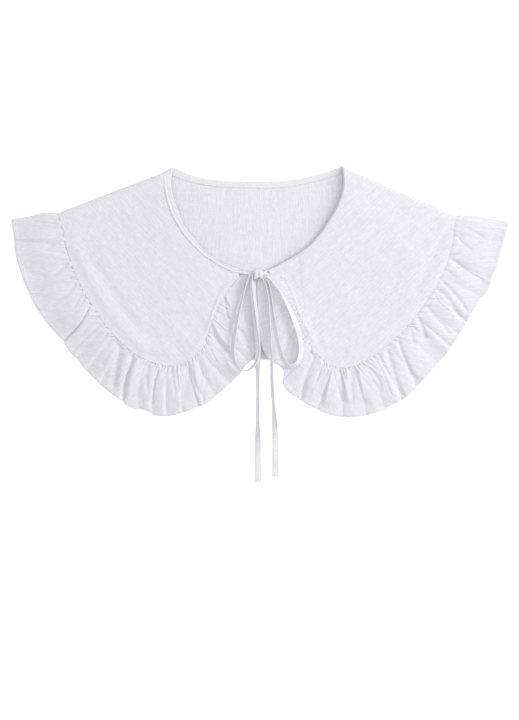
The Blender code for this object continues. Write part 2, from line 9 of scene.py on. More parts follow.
import bmesh
import bpy
import numpy as np
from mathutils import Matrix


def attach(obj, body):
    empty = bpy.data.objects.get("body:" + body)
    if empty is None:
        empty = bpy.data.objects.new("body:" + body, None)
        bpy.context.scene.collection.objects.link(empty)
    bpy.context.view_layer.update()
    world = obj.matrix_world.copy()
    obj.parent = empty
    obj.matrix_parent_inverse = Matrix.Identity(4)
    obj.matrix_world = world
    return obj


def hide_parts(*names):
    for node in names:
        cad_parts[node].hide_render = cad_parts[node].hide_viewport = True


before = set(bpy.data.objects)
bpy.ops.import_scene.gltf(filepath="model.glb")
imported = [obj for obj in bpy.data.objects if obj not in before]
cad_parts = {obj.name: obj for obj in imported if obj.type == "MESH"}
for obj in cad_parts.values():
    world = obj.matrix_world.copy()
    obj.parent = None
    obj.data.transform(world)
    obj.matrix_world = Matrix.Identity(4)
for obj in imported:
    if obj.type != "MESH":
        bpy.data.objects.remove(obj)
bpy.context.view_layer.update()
scene = bpy.context.scene

# Camera: it looks straight down on the table, as the photograph does, with the nape side up.
# An 85 mm lens 1.7 m above the cloth frames 0.72 m of it from top to bottom.
lens = bpy.data.cameras.new("camera")
lens.sensor_fit = "VERTICAL"
lens.sensor_height = 36
lens.lens = 85


def placed(name, data):
    """A new object in the scene."""
    item = bpy.data.objects.new(name, data)
    scene.collection.objects.link(item)
    return item


camera = placed("camera", lens)
camera.location = (-0.0008, -0.069, 1.705)
scene.camera = camera

# Tie: one bias strip of the collar's own cotton, its raw edges folded in and stitched together,
# pressed 6 mm wide. Two loops and two free ends leave the knot, stand on edge where they are
# drawn tight, and fall flat on the table at their tips.
tie_width = 0.006
tie_thickness = 0.0014
tie_step = 0.0011
tie_sides = 28
groove_depth = 0.42
tip_length = 0.0012
tip_share = 0.55
# uneven turn in degrees, thickness and width in shares: how much, metres of the strip for one
# radian of the wave, times the phase
turn_waves = ((3.0, 0.011, 1), (2.0, 0.0047, 2))
thickness_waves = ((0.05, 0.00041, 1), (0.06, 0.0061, 1))
width_waves = ((0.025, 0.0083, 1),)
# x y z in metres, turn about the strip's own length in degrees
loop_left_route = (
    (-0.0101, 0.0176, 0.0102, 92),
    (-0.0115, 0.0134, 0.0104, 92),
    (-0.0139, 0.007, 0.0104, 92),
    (-0.0171, -0.005, 0.0106, 98),
    (-0.0211, -0.021, 0.011, 112),
    (-0.0247, -0.039, 0.0114, 124),
    (-0.0271, -0.055, 0.0118, 128),
    (-0.0261, -0.068, 0.0116, 122),
    (-0.0219, -0.0764, 0.0108, 106),
    (-0.0147, -0.0798, 0.0106, 88),
    (-0.0077, -0.076, 0.0108, 76),
    (-0.0025, -0.0676, 0.0116, 74),
    (-0.0013, -0.055, 0.012, 76),
    (-0.0027, -0.039, 0.012, 78),
    (-0.0053, -0.022, 0.0117, 80),
    (-0.0071, -0.007, 0.0112, 84),
    (-0.0081, 0.003, 0.0108, 88),
    (-0.0083, 0.011, 0.0104, 90),
    (-0.0079, 0.0154, 0.0104, 90),
)
loop_right_route = (
    (0.0061, 0.0116, 0.0098, 90),
    (0.0079, 0.0084, 0.01, 90),
    (0.0095, 0.003, 0.0103, 92),
    (0.0108, -0.004, 0.0106, 94),
    (0.0119, -0.013, 0.0109, 100),
    (0.0133, -0.025, 0.0112, 114),
    (0.0159, -0.043, 0.0114, 128),
    (0.0193, -0.058, 0.0115, 128),
    (0.0237, -0.0694, 0.0112, 128),
    (0.0297, -0.0752, 0.0111, 132),
    (0.0363, -0.0728, 0.0114, 140),
    (0.0403, -0.063, 0.0116, 148),
    (0.0399, -0.049, 0.012, 152),
    (0.0363, -0.035, 0.0122, 148),
    (0.0305, -0.021, 0.012, 134),
    (0.0241, -0.008, 0.0114, 118),
    (0.0171, 0.0034, 0.0108, 106),
    (0.0113, 0.01, 0.0104, 98),
    (0.0063, 0.0146, 0.0102, 94),
)
tail_left_route = (
    (-0.0073, 0.0096, 0.0058, 184),
    (-0.0073, 0.002, 0.0061, 184),
    (-0.0065, -0.009, 0.0067, 186),
    (-0.0043, -0.031, 0.0075, 190),
    (-0.0027, -0.053, 0.0075, 188),
    (-0.0025, -0.065, 0.0066, 186),
    (-0.0026, -0.073, 0.0053, 158),
    (-0.0025, -0.083, 0.0039, 126),
    (-0.0024, -0.097, 0.0038, 118),
    (-0.0024, -0.113, 0.0037, 118),
    (-0.0024, -0.131, 0.0036, 122),
    (-0.0023, -0.143, 0.003, 146),
    (-0.0023, -0.155, 0.0018, 172),
    (-0.0023, -0.173, 0.0013, 180),
    (-0.0021, -0.191, 0.0013, 180),
)
tail_right_route = (
    (0.0023, 0.0124, 0.0094, 88),
    (0.0043, 0.0092, 0.0096, 88),
    (0.0063, 0.004, 0.0099, 88),
    (0.0076, -0.003, 0.0103, 88),
    (0.0086, -0.011, 0.0106, 88),
    (0.0092, -0.021, 0.0109, 88),
    (0.0101, -0.037, 0.011, 90),
    (0.011, -0.053, 0.011, 94),
    (0.0115, -0.067, 0.0108, 104),
    (0.0116, -0.076, 0.0094, 112),
    (0.0117, -0.089, 0.0057, 118),
    (0.0125, -0.103, 0.004, 120),
    (0.0137, -0.119, 0.0036, 126),
    (0.0145, -0.132, 0.0028, 148),
    (0.0149, -0.143, 0.0017, 172),
    (0.0153, -0.161, 0.0013, 180),
    (0.0151, -0.185, 0.0013, 180),
)


def unit(vectors):
    return vectors / np.maximum(np.linalg.norm(vectors, axis=-1, keepdims=True), 1e-12)


def bell(distance, middle, width):
    return np.exp(-((distance - middle) / width) ** 2)


def ramp(value):
    return np.clip(value, 0, 1)


def squared(wave, power):
    """A sine or cosine pressed flatter, so that a round section gets corners."""
    return np.sign(wave) * np.abs(wave) ** power


def waves(place, phase, table):
    return sum(much * np.sin(place / length + times * phase) for much, length, times in table)


def travelled(points):
    steps = np.linalg.norm(np.diff(points, axis=0), axis=1)
    return np.concatenate([[0.0], np.cumsum(steps)])


def through(knots, values, wanted, level=()):
    """A smooth curve through the rows of a table; the level columns never swing past a row."""
    spans = np.diff(knots)
    slopes = np.diff(values, axis=0) / spans[:, None]
    bends = np.empty_like(values)
    before = spans[:-1, None]
    after = spans[1:, None]
    bends[1:-1] = (slopes[:-1] * after + slopes[1:] * before) / (before + after)
    bends[0] = slopes[0]
    bends[-1] = slopes[-1]
    for column in level:
        first = slopes[:-1, column]
        second = slopes[1:, column]
        both = first * second
        eased = 2 * both / np.where(both > 0, first + second, 1.0)
        bends[1:-1, column] = np.where(both > 0, eased, 0.0)
    place = np.clip(np.searchsorted(knots, wanted, side="right") - 1, 0, len(spans) - 1)
    width = spans[place]
    part = ((wanted - knots[place]) / width)[:, None]
    width = width[:, None]
    start = values[place] * (1 + 2 * part) * (1 - part) ** 2
    end = values[place + 1] * part ** 2 * (3 - 2 * part)
    lead = bends[place] * width * part * (1 - part) ** 2
    trail = bends[place + 1] * width * part ** 2 * (part - 1)
    return start + end + lead + trail


def linear(hex_colour):
    """An sRGB hex colour as linear light, with alpha."""
    channels = [int(hex_colour[k:k + 2], 16) / 255 for k in (0, 2, 4)]
    return (*[c / 12.92 if c <= 0.04045 else ((c + 0.055) / 1.055) ** 2.4 for c in channels], 1.0)


def fill(tree, node, inputs):
    """Links sockets, and the first outputs of nodes, to the inputs, and sets other values."""
    for name, value in inputs.items():
        if isinstance(value, bpy.types.Node):
            value = value.outputs[0]
        if isinstance(value, bpy.types.NodeSocket):
            tree.links.new(value, node.inputs[name])
        else:
            node.inputs[name].default_value = value


def add(tree, kind, settings=None, inputs=None):
    node = tree.nodes.new(kind)
    for name, value in (settings or {}).items():
        setattr(node, name, value)
    fill(tree, node, inputs or {})
    return node


def new_material(name):
    material = bpy.data.materials.new(name)
    material.use_nodes = True
    return material, material.node_tree, material.node_tree.nodes["Principled BSDF"]


def tinted(tree, factor, light, shade):
    """A colour between two sRGB ones."""
    return add(tree, "ShaderNodeMix", {"data_type": "RGBA"},
               {"Factor": factor, 6: linear(light), 7: linear(shade)}).outputs[2]


def maths(tree, operation, *values):
    return add(tree, "ShaderNodeMath", {"operation": operation}, dict(enumerate(values)))


def cut_noise(tree, cut, wide, long, detail, roughness):
    """Noise on the flat cut, as wide and long as given in millimetres."""
    drawn = add(tree, "ShaderNodeMapping", inputs={"Vector": cut, "Scale": (1000 / wide, 1000 / long, 1)})
    return add(tree, "ShaderNodeTexNoise", {"noise_dimensions": "2D"},
               {"Vector": drawn, "Scale": 1.0, "Detail": detail, "Roughness": roughness})


def woven(name, light, shade, thread, slub, crease, crease_depth, fuzz):
    """A plain weave on the flat cut, in millimetres: uneven threads and slubs, small creases."""
    thread_length = 7 * thread
    slub_width = 1.8 * thread
    slub_length = 34 * thread
    warp_share = 1.4
    weft_share = 0.6
    contrast = 0.22
    yarn_relief = 0.06
    weave_relief = 0.03
    material, tree, shader = new_material(name)
    cut = add(tree, "ShaderNodeUVMap", {"uv_map": "flat_cut"})
    cross = add(tree, "ShaderNodeSeparateXYZ", inputs={"Vector": cut})
    over_under = []
    for axis in "XY":
        turn = maths(tree, "MULTIPLY", cross.outputs[axis], 1000 * math.pi / thread)
        over_under.append(maths(tree, "SINE", turn))
    weave = maths(tree, "MULTIPLY", *over_under)
    yarn = 0.0
    for wide, long, weight in ((thread, thread_length, 1.0), (slub_width, slub_length, slub)):
        warp = cut_noise(tree, cut, wide, long, 1.0, 0.5)
        yarn = maths(tree, "MULTIPLY_ADD", warp, weight * warp_share, yarn)
        weft = cut_noise(tree, cut, long, wide, 1.0, 0.5)
        yarn = maths(tree, "MULTIPLY_ADD", weft, weight * weft_share, yarn)
    creases = cut_noise(tree, cut, crease, crease, 3.0, 0.55)
    middle = 1 + slub
    tint = add(tree, "ShaderNodeMapRange", {"interpolation_type": "LINEAR"},
               {"Value": yarn, "From Min": middle * (1 - contrast), "From Max": middle * (1 + contrast)})
    bumps = None
    for height, depth in ((creases, crease_depth), (yarn, yarn_relief), (weave, weave_relief)):
        settings = {"Height": height, "Strength": 1.0, "Distance": depth / 1000}
        if bumps:
            settings["Normal"] = bumps
        bumps = add(tree, "ShaderNodeBump", inputs=settings)
    fill(tree, shader, {
        "Base Color": tinted(tree, tint, light, shade), "Normal": bumps, "Roughness": 0.88,
        "IOR": 1.5, "Specular IOR Level": 0.3, "Sheen Weight": fuzz, "Sheen Roughness": 0.5})
    return material


def cloth(name, points, faces, flat, material):
    """A closed piece of cloth in metres, with its flat cut as a UV map."""
    mesh = bpy.data.meshes.new(name)
    mesh.from_pydata(np.asarray(points).tolist(), [], [list(face) for face in faces])
    mesh.uv_layers.new(name="flat_cut").data.foreach_set("uv", np.asarray(flat, dtype=np.float32).ravel())
    form = bmesh.new()
    form.from_mesh(mesh)
    bmesh.ops.recalc_face_normals(form, faces=form.faces)
    form.to_mesh(mesh)
    form.free()
    mesh.materials.append(material)
    mesh.polygons.foreach_set("use_smooth", [True] * len(mesh.polygons))
    return placed(name, mesh)


def skin(along, girth, start=0, closed=False):
    """Faces between rings of points, the first numbered start, and their corners laid flat."""
    sides = len(girth) - 1
    faces = []
    flat = []
    for k in range(len(along) - 1):
        m = 0 if closed and k == len(along) - 2 else k + 1
        for j in range(sides):
            n = (j + 1) % sides
            faces.append([start + row * sides + side for row, side in ((k, j), (k, n), (m, n), (m, j))])
            flat += [(along[k], girth[j]), (along[k], girth[j + 1])]
            flat += [(along[k + 1], girth[j + 1]), (along[k + 1], girth[j])]
    return faces, flat


def tube(along, girth, start=0, lean=0.1):
    """A skin with both its ends closed flat."""
    sides = len(girth) - 1
    faces, flat = skin(along, girth, start)
    for k in (0, len(along) - 1):
        faces.append([start + k * sides + j for j in range(sides)])
        flat += [(along[k] + girth[j] * lean, girth[j]) for j in range(sides)]
    return faces, flat


def strip(name, route, material, phase):
    """A pressed bias strip of rounded section, with the groove of its closing stitches."""
    rows = np.array(route, dtype=float)
    knots = travelled(rows[:, :3])
    place = np.linspace(0, knots[-1], int(knots[-1] / tie_step))
    smooth = through(knots, rows, place)
    path = smooth[:, :3]
    forward = unit(np.gradient(path, axis=0))
    side = unit(np.cross(forward, (0.0, 0.0, 1.0)))
    top = unit(np.cross(side, forward))
    turn = np.radians(smooth[:, 3] + waves(place, phase, turn_waves))[:, None]
    wide = side * np.cos(turn) + top * np.sin(turn)
    deep = unit(np.cross(wide, forward))
    angle = np.linspace(0, 2 * math.pi, tie_sides, endpoint=False)
    across = squared(np.cos(angle), 0.55)
    height = squared(np.sin(angle), 0.6) * (1 - groove_depth * bell(across, 0.66, 0.13))
    tip = np.minimum(1.0, tip_share + np.minimum(place, knots[-1] - place) / tip_length)
    half_wide = 0.5 * tie_width * (1 + waves(place, phase, width_waves))
    half_deep = 0.5 * tie_thickness * (1 + waves(place, phase, thickness_waves)) * tip
    rings = path[:, None] + wide[:, None] * (across[None] * half_wide[:, None])[:, :, None]
    rings = rings + deep[:, None] * (height[None] * half_deep[:, None])[:, :, None]
    along = travelled(rings.mean(axis=1))
    girth = travelled(np.concatenate([rings[0], rings[0, :1]]))
    piece = cloth(name, rings.reshape(-1, 3), *tube(along, girth), material)
    return piece, path, knots[-1]


# Bias strip cotton: pressed smooth. Its colours are painted a little lighter than the panels', a painted
# highlight for the extra light it catches. Its threads, like the panels', are drawn twice as coarse as real
# ones so that they show.
bias_cotton = woven("bias_cotton", "f0eff3", "e7e6eb", 0.8, 0.2, 9.0, 0.1, 0.12)
ties = (
    ("bow_loop_left", loop_left_route, "object", 0.3),
    ("bow_loop_right", loop_right_route, "object", 1.7),
    ("tie_end_left", tail_left_route, "bare", 2.9),
    ("tie_end_right", tail_right_route, "bare", 4.4),
)
for node, route, far_end, phase in ties:
    piece, path, length = strip(node + "_strip", route, bias_cotton, phase)
    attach(piece, "root")
    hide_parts(node)

# Knot: the same strip wound twice round itself and drawn tight, so each wrap is pinched
# narrower than the strip and bulges over its core.
knot_centre = (-0.0017, 0.0168, 0.0084)
# along the front, half depth, half height, width of the wrap, slant, in millimetres
wraps = (
    (-1.9, 4.3, 3.1, 3.7, 0.6),
    (2.2, 4.5, 3.2, 3.4, -0.5),
)
wrap_steps = 41
wrap_sides = 16
wrap_half_thickness = 0.75
wrap_corner = 0.7
wrap_hollow = 0.25
wrap_pinch = 0.06
# metres of the flat strip from ring to ring and from point to point, for its weave
wrap_flat = (0.0008, 0.0006)
core_flat = (0.001, 0.0007)
# half length, half depth, half height of the core
core = (5.0, 3.6, 2.5)
core_steps = 15
core_sides = 24


def wrap_rings(across, depth, height, width, slant):
    """One wrap as a flat band bent into a closed hoop, its middle a little hollow."""
    angle = np.linspace(0, 2 * math.pi, wrap_sides, endpoint=False)
    wide = squared(np.cos(angle), wrap_corner)
    thick = squared(np.sin(angle), wrap_corner) * (1 - wrap_hollow * bell(wide, 0.1, 0.35))
    rings = []
    for step in np.linspace(0, 2 * math.pi, wrap_steps):
        sine = math.sin(step)
        cosine = math.cos(step)
        pull = 1 + wrap_pinch * math.sin(3 * step + across)
        middle = np.array([across + slant * sine, depth * sine, height * cosine])
        ring = middle + np.outer(0.5 * width * pull * wide, (1.0, 0.0, 0.0))
        rings.append(ring + np.outer(wrap_half_thickness * thick, (0.0, sine, cosine)))
    return np.array(rings)


def core_rings():
    """The core under the wraps: a barrel with blunt ends."""
    angle = np.linspace(0, 2 * math.pi, core_sides, endpoint=False)
    rings = []
    for place in np.linspace(-1, 1, core_steps):
        round_off = math.sqrt(max(0.02, 1 - abs(place) ** 4))
        rings.append(np.stack([
            core[0] * place + 0 * angle,
            core[1] * round_off * np.sin(angle),
            core[2] * round_off * np.cos(angle),
        ], axis=1))
    return np.array(rings)


knot_points = []
knot_faces = []
knot_flat = []
for wrap in wraps:
    start = sum(len(points) for points in knot_points)
    knot_points.append(wrap_rings(*wrap)[:-1].reshape(-1, 3))
    faces, flat = skin(wrap_flat[0] * np.arange(wrap_steps), wrap_flat[1] * np.arange(wrap_sides + 1),
                       start, closed=True)
    knot_faces += faces
    knot_flat += flat
start = sum(len(points) for points in knot_points)
knot_points.append(core_rings().reshape(-1, 3))
faces, flat = tube(core_flat[0] * np.arange(core_steps), core_flat[1] * np.arange(core_sides + 1),
                   start, lean=0.0)
knot_points = np.concatenate(knot_points) / 1000 + np.array(knot_centre)
knot = cloth("bow_knot_wraps", knot_points, knot_faces + faces, knot_flat + flat, bias_cotton)
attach(knot, "root")
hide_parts("bow_knot")

# Collar body: one piece of slubbed cotton, the back and two fronts in one, folded over at the
# shoulders so that the fronts lie on the back. It is a single layer, soft and barely pressed,
# with the seam allowance of the ruffle showing through as a low ridge inside its edge.
panel_wall = 0.5
panel_drop = 0.3
datum_right = 260.3
datum_down = 291.0
allowance_ridge = 0.55
allowance_in = 12.0
allowance_spread = 5.0
panel_sag = 0.8
# height, width and seed of the swells all over the fronts
panel_swells = ((0.22, 34.0, 5), (0.07, 9.0, 8))
gather_pitch = 5.2
pucker_reach = 17.0
pucker_height = 0.22
pucker_seed = 13
# how far from the shoulder folds the cloth stays even, and over what lengths it grows uneven
fold_margin = 6.0
fold_ease = 12.0
front_ease = 30.0
nape_ease = 8.0
# how wide a pressed step rises, and how far it reaches
step_width = 0.7
step_reach = 5.0
# One row for each station round the collar, from the left centre front over the left fold,
# along the back and over the right fold to the right centre front.
# binding x y z, neck x y z, seam x y z, hem x y z, without heights where the back lies flat
left_front = (
    (242.5, 271.5, 5.4, 238.5, 272.8, 5.6, 239.5, 277, 5.4, 256.6, 279.5, 3.2),
    (236.5, 268.9, 5.6, 233, 272.3, 6, 231, 286, 5.8, 259.6, 302, 3.2),
    (229.5, 266, 5.9, 225.5, 268.8, 6.4, 220, 303, 6.2, 260.2, 328, 3.6),
    (222, 262.7, 6.2, 218, 265, 6.8, 212, 323, 6.2, 253.6, 356, 4.4),
    (214.5, 258.2, 6.4, 210.5, 260.2, 7.2, 206, 342, 6, 237, 377, 2.2),
    (207, 252.8, 6.6, 203, 255, 7.6, 192, 359, 5.4, 201, 405, 0.9),
    (200.7, 247, 6.8, 196.5, 248.6, 8, 172, 366.5, 4.8, 160, 416, 0.8),
    (196.5, 241.8, 6.9, 192, 244.2, 8.2, 156, 364, 4.8, 128, 404, 0.8),
    (192.5, 236.8, 7, 187.5, 239.3, 8.4, 141, 358, 5, 98, 383, 0.8),
    (184.8, 226.6, 7.2, 179.7, 228.8, 8.8, 115, 337, 5.7, 64, 341, 1.3),
    (178.6, 211.9, 7.4, 171.6, 214, 9.2, 92, 306, 6.4, 38, 310, 3.8),
    (173.8, 198.6, 7.6, 166.8, 200, 9.4, 75, 274, 6.8, 22, 275, 5),
    (171.6, 186, 7.8, 164.2, 187, 9.2, 65, 243, 6.9, 15, 243, 5.2),
    (172, 175, 7.9, 163.4, 178, 8.8, 59.3, 218.5, 7, 12.4, 225, 5.4),
)
left_fold = (
    (172.8, 168.8, 6.4, 162.8, 174.4, 7.4, 57.6, 214.6, 6, 11.6, 220.6, 4.6),
    (173.6, 167.2, 4.2, 163.2, 172.8, 4.7, 57.3, 213.2, 3.8, 11.5, 219.2, 3),
    (174.4, 167.2, 2, 165.6, 173.4, 2, 58, 214.6, 1.7, 12, 220.6, 1.4),
)
back_places = (
    (177, 168.4, 171, 175.2, 60.2, 219, 14, 225.6),
    (184, 171.6, 179.5, 178.4, 70, 240, 20, 246),
    (193, 174.8, 189, 181.2, 84, 262, 32, 270),
    (203, 177.7, 200, 183.7, 105, 283, 51, 292),
    (214.5, 179.4, 212, 185.6, 135, 300, 88, 321),
    (229, 180.5, 227, 186.9, 175, 311, 140, 342),
    (243, 181, 242, 187.4, 215, 314.5, 198, 355),
    (258.5, 181.2, 258.5, 187.6, 258, 315, 257, 360),
    (274, 181, 275, 187.3, 301, 314.5, 318, 355),
    (288, 179.8, 290, 185.9, 341, 311, 378, 342),
    (301.5, 177.9, 304, 183.4, 379, 300, 429, 321),
    (313, 175.2, 315.5, 180.8, 408, 283, 466, 292),
    (322.5, 172.8, 325, 178.2, 429, 262, 487, 270),
    (331, 170, 333, 175.6, 443, 241, 499, 247),
    (338, 167.6, 340, 173.2, 453, 221, 506.5, 227),
)
right_fold = (
    (342, 165.8, 2, 343.8, 169.6, 2.1, 456.3, 216.8, 1.7, 508.6, 222.6, 1.4),
    (342.6, 165.6, 4.4, 344.2, 168, 4.9, 457, 215.4, 3.8, 509.2, 221, 3),
    (342.4, 167.2, 5.6, 343.4, 168.6, 7.8, 456.6, 216.6, 6, 509, 222.4, 4.6),
)
right_front = (
    (342.8, 172.4, 6, 343.3, 172.6, 9.2, 455, 220.5, 7, 508, 227, 5.4),
    (343.3, 181, 5.9, 343.8, 181.2, 9.8, 452, 243, 6.9, 503, 243, 5.2),
    (341.7, 193, 5.8, 342.2, 193.2, 10, 442, 274, 6.8, 494, 271, 5),
    (336.5, 206.8, 5.7, 336.9, 207, 9.8, 425, 303, 6.4, 478, 305, 3.8),
    (329.8, 218.7, 5.6, 330.2, 219, 9.5, 403, 331, 5.7, 454, 342, 1.3),
    (322.5, 230.1, 5.5, 322.8, 230.4, 9, 379, 352, 5, 428, 375, 0.8),
    (316.5, 237.4, 5.4, 316.8, 237.8, 8.6, 358, 365, 4.8, 395, 405, 0.8),
    (312.1, 242.6, 5.3, 312.4, 243, 8.3, 341, 368, 4.8, 350, 417, 0.8),
    (306.9, 247.2, 5.2, 307.2, 247.6, 7.9, 325, 362, 5.4, 308, 404.5, 0.9),
    (300.1, 252.3, 5.1, 300.4, 252.8, 7.5, 311, 346, 6, 284, 383, 2.2),
    (297, 254.4, 5, 297.3, 254.9, 6.9, 306.6, 337.5, 6.1, 281.6, 371.4, 3.4),
    (293.8, 256.4, 4.8, 294.1, 256.9, 6.8, 302, 329, 6.2, 267.6, 357.6, 4.4),
    (287.4, 259.9, 4.3, 287.7, 260.4, 6.6, 297, 310, 6.2, 258, 331, 4.8),
    (280.1, 263.9, 3.8, 280.4, 264.4, 6.2, 290, 291, 5.8, 257.4, 303, 4.4),
    (275, 266.8, 4, 275.4, 267.4, 6, 280.5, 276.4, 5.5, 257, 289, 4.4),
    (267.4, 270.2, 4.4, 267.8, 270.8, 5.8, 269.6, 274, 5.4, 257.6, 279.5, 4.4),
)
# heights of the back's binding, neck, seam and hem; its binding starts to rise at both folds
back_heights = (0.8, 0.6, 0.6, 0.6)
binding_rise = 0.1
back = np.insert(back_places, (2, 4, 6, 8), back_heights, axis=1)
back[[0, -1], 2] += binding_rise
layout = np.concatenate([left_front, left_fold, back, right_fold, right_front])
layout[:, 0::3] -= datum_right
layout[:, 1::3] = datum_down - layout[:, 1::3]
travel = 0.5 * (travelled(layout[:, 6:9]) + travelled(layout[:, 9:12]))
# The crests of the shoulder folds, and where the ruffle passes from the fronts to the back
left_crest = travel[len(left_front) + 1]
right_crest = travel[-len(right_front) - 2]
left_turn = travel[len(left_front) + len(left_fold)]
right_turn = travel[-len(right_front) - len(right_fold) - 1]
round_end = travel[-1]
body_columns = np.concatenate([
    np.linspace(0.0, left_crest - 12, 168),
    np.linspace(left_crest - 11, left_crest + 11, 45),
    np.linspace(left_crest + 13, right_crest - 13, 180),
    np.linspace(right_crest - 11, right_crest + 11, 45),
    np.linspace(right_crest + 12, round_end, 168),
])
# Soft bands and dents pressed into the fronts: where each runs, right and down at each point,
# its half width and its height
panel_marks = (
    ((72, 246, 86, 270, 102, 293, 121, 322, 142, 348), 5, 0.35),
    ((96, 266, 112, 292, 134, 324, 152, 338), 5.5, -0.8),
    ((150, 356, 168, 360, 184, 356), 4, -0.6),
    ((176, 330, 190, 344, 200, 348), 6, 0.5),
    ((196, 316, 206, 330, 206, 342), 5, -0.5),
    ((441, 238, 433, 261, 425, 275, 417, 291), 4.5, -0.9),
    ((449, 246, 441, 268, 430, 288, 410, 315), 4, 0.6),
    ((318, 344, 324, 351, 334, 354, 344, 352), 3, -0.8),
    ((322, 338, 330, 344, 340, 345), 3.5, 0.6),
    ((372, 330, 384, 322, 398, 306), 6, -0.5),
    ((352, 352, 366, 346, 380, 334), 4, 0.45),
    ((300, 300, 304, 316, 310, 332), 4, 0.4),
)
# Where the back runs up towards the right fold under the edge of the neck opening
nape_marks = (
    ((342, 166, 344, 184, 341, 200, 332, 217, 320, 235, 305, 250), 12, 2.8),
)


def stations(wanted):
    rows = through(travel, layout, np.asarray(wanted, dtype=float), (2, 5, 8, 11))
    return rows[:, 0:3], rows[:, 3:6], rows[:, 6:9], rows[:, 9:12]


def rumple(across, down, size, seed):
    """Smooth uneven swells about one unit high, as wide as size, the same each run."""
    luck = np.random.default_rng(seed)
    total = np.zeros(np.broadcast(across, down).shape)
    for _ in range(14):
        heading = luck.uniform(0, 2 * math.pi)
        pitch = 2 * math.pi / (size * luck.uniform(0.7, 2.2))
        shift = luck.uniform(0, 2 * math.pi)
        total = total + np.sin(pitch * (across * math.cos(heading) + down * math.sin(heading)) + shift)
    return total / 4.0


def marks_lift(right, down, marks, spread=1.0):
    """Height of the pressed marks: a bell across each line, and any step up to one side of it."""
    lift = np.zeros_like(right)
    for line, width, height, *steps in marks:
        nearest = np.full_like(right, 1e9)
        side = np.zeros_like(right)
        points = np.reshape(line, (-1, 2))
        for (x1, y1), (x2, y2) in zip(points[:-1], points[1:]):
            run_x = x2 - x1
            run_y = y2 - y1
            share = ramp(((right - x1) * run_x + (down - y1) * run_y) / (run_x ** 2 + run_y ** 2))
            gap_x = right - x1 - share * run_x
            gap_y = down - y1 - share * run_y
            gap = np.hypot(gap_x, gap_y)
            closer = gap < nearest
            nearest = np.where(closer, gap, nearest)
            side = np.where(closer, (gap_x * run_y - gap_y * run_x) / math.hypot(run_x, run_y), side)
        lift += height * bell(nearest, 0, width * spread)
        for step in steps:
            lift += step * ramp(side / step_width) * np.exp(-nearest / step_reach)
    return lift


def gathers(along, down, pitch, seed):
    """Small gathers at a seam, each with its own width, height and length away from it."""
    luck = np.random.default_rng(seed)
    starts = [along.min() - 6.0]
    while starts[-1] < along.max() + 6.0:
        starts.append(starts[-1] + pitch * luck.uniform(0.4, 1.8))
    starts = np.array(starts)
    tall = luck.uniform(0.5, 1.7, len(starts))
    long = 0.07 + 0.45 * luck.random(len(starts)) ** 2.2
    skew = luck.uniform(0.7, 1.4, len(starts))
    down = np.clip(down, 0, None)
    lean = 2.2 * np.sin(along / 7.3) + 1.6 * np.sin(along / 3.1 + seed)
    drawn = along - lean * down
    place = np.clip(np.searchsorted(starts, drawn, side="right") - 1, 0, len(starts) - 2)
    inside = ramp((drawn - starts[place]) / (starts[place + 1] - starts[place]))
    fade = ramp(1 - down / long[place]) ** 0.8
    return tall[place] * fade * (np.sin(math.pi * inside ** skew[place]).clip(0) ** 0.6 - 0.45)


def nape_rise(wanted, grid):
    """How far the back is lifted beside the neck opening at the right."""
    behind = ramp((right_crest - wanted) / nape_ease) * (wanted > left_crest)
    return behind * marks_lift(grid[:, :, 0] + datum_right, datum_down - grid[:, :, 1], nape_marks)


def panel_grid(wanted, share):
    """Middle surface of the body: neck edge at row 0, ruffle seam at the last row."""
    _, neck, seam, _ = stations(wanted)
    width = np.linalg.norm(seam - neck, axis=1)
    share = np.asarray(share, dtype=float)[:, None]
    grid = neck[None] * (1 - share[:, :, None]) + seam[None] * share[:, :, None]
    past_fold = np.maximum(left_crest - wanted, wanted - right_crest) - fold_margin
    front = ramp(past_fold / front_ease) * ramp(width / 60)
    ridge = allowance_ridge * bell((1 - share) * width, allowance_in, allowance_spread)
    grid[:, :, 2] += front * (ridge - panel_sag * np.sin(math.pi * share) ** 2)
    right = grid[:, :, 0] + datum_right
    down = datum_down - grid[:, :, 1]
    grid[:, :, 2] += front * marks_lift(right, down, panel_marks)
    ease = ramp(past_fold / fold_ease) * np.sin(math.pi * share)
    grid[:, :, 2] += ease * sum(high * rumple(right, down, size, seed) for high, size, seed in panel_swells)
    puckers = gathers(wanted, (1 - share) * width / pucker_reach, gather_pitch, pucker_seed)
    grid[:, :, 2] += front * pucker_height * puckers
    grid[:, :, 2] += nape_rise(wanted, grid)
    grid[:, :, 2] -= panel_drop
    return grid


def flat_cut(wanted, points):
    """Where a point of the body lies on the cut before folding: the fronts turned back out."""
    cut = points[:, :, :2].copy()
    for crest, sign in ((left_crest, -1), (right_crest, 1)):
        _, neck, seam, _ = stations([crest])
        start = neck[0, :2]
        run = unit(seam[0, :2] - start)
        front = (wanted - crest) * sign > 0
        away = cut[:, front] - start
        cut[:, front] = start + 2 * (away @ run)[:, :, None] * run - away
    return cut


def normals(grid):
    return unit(np.cross(np.gradient(grid, axis=0), np.gradient(grid, axis=1)))


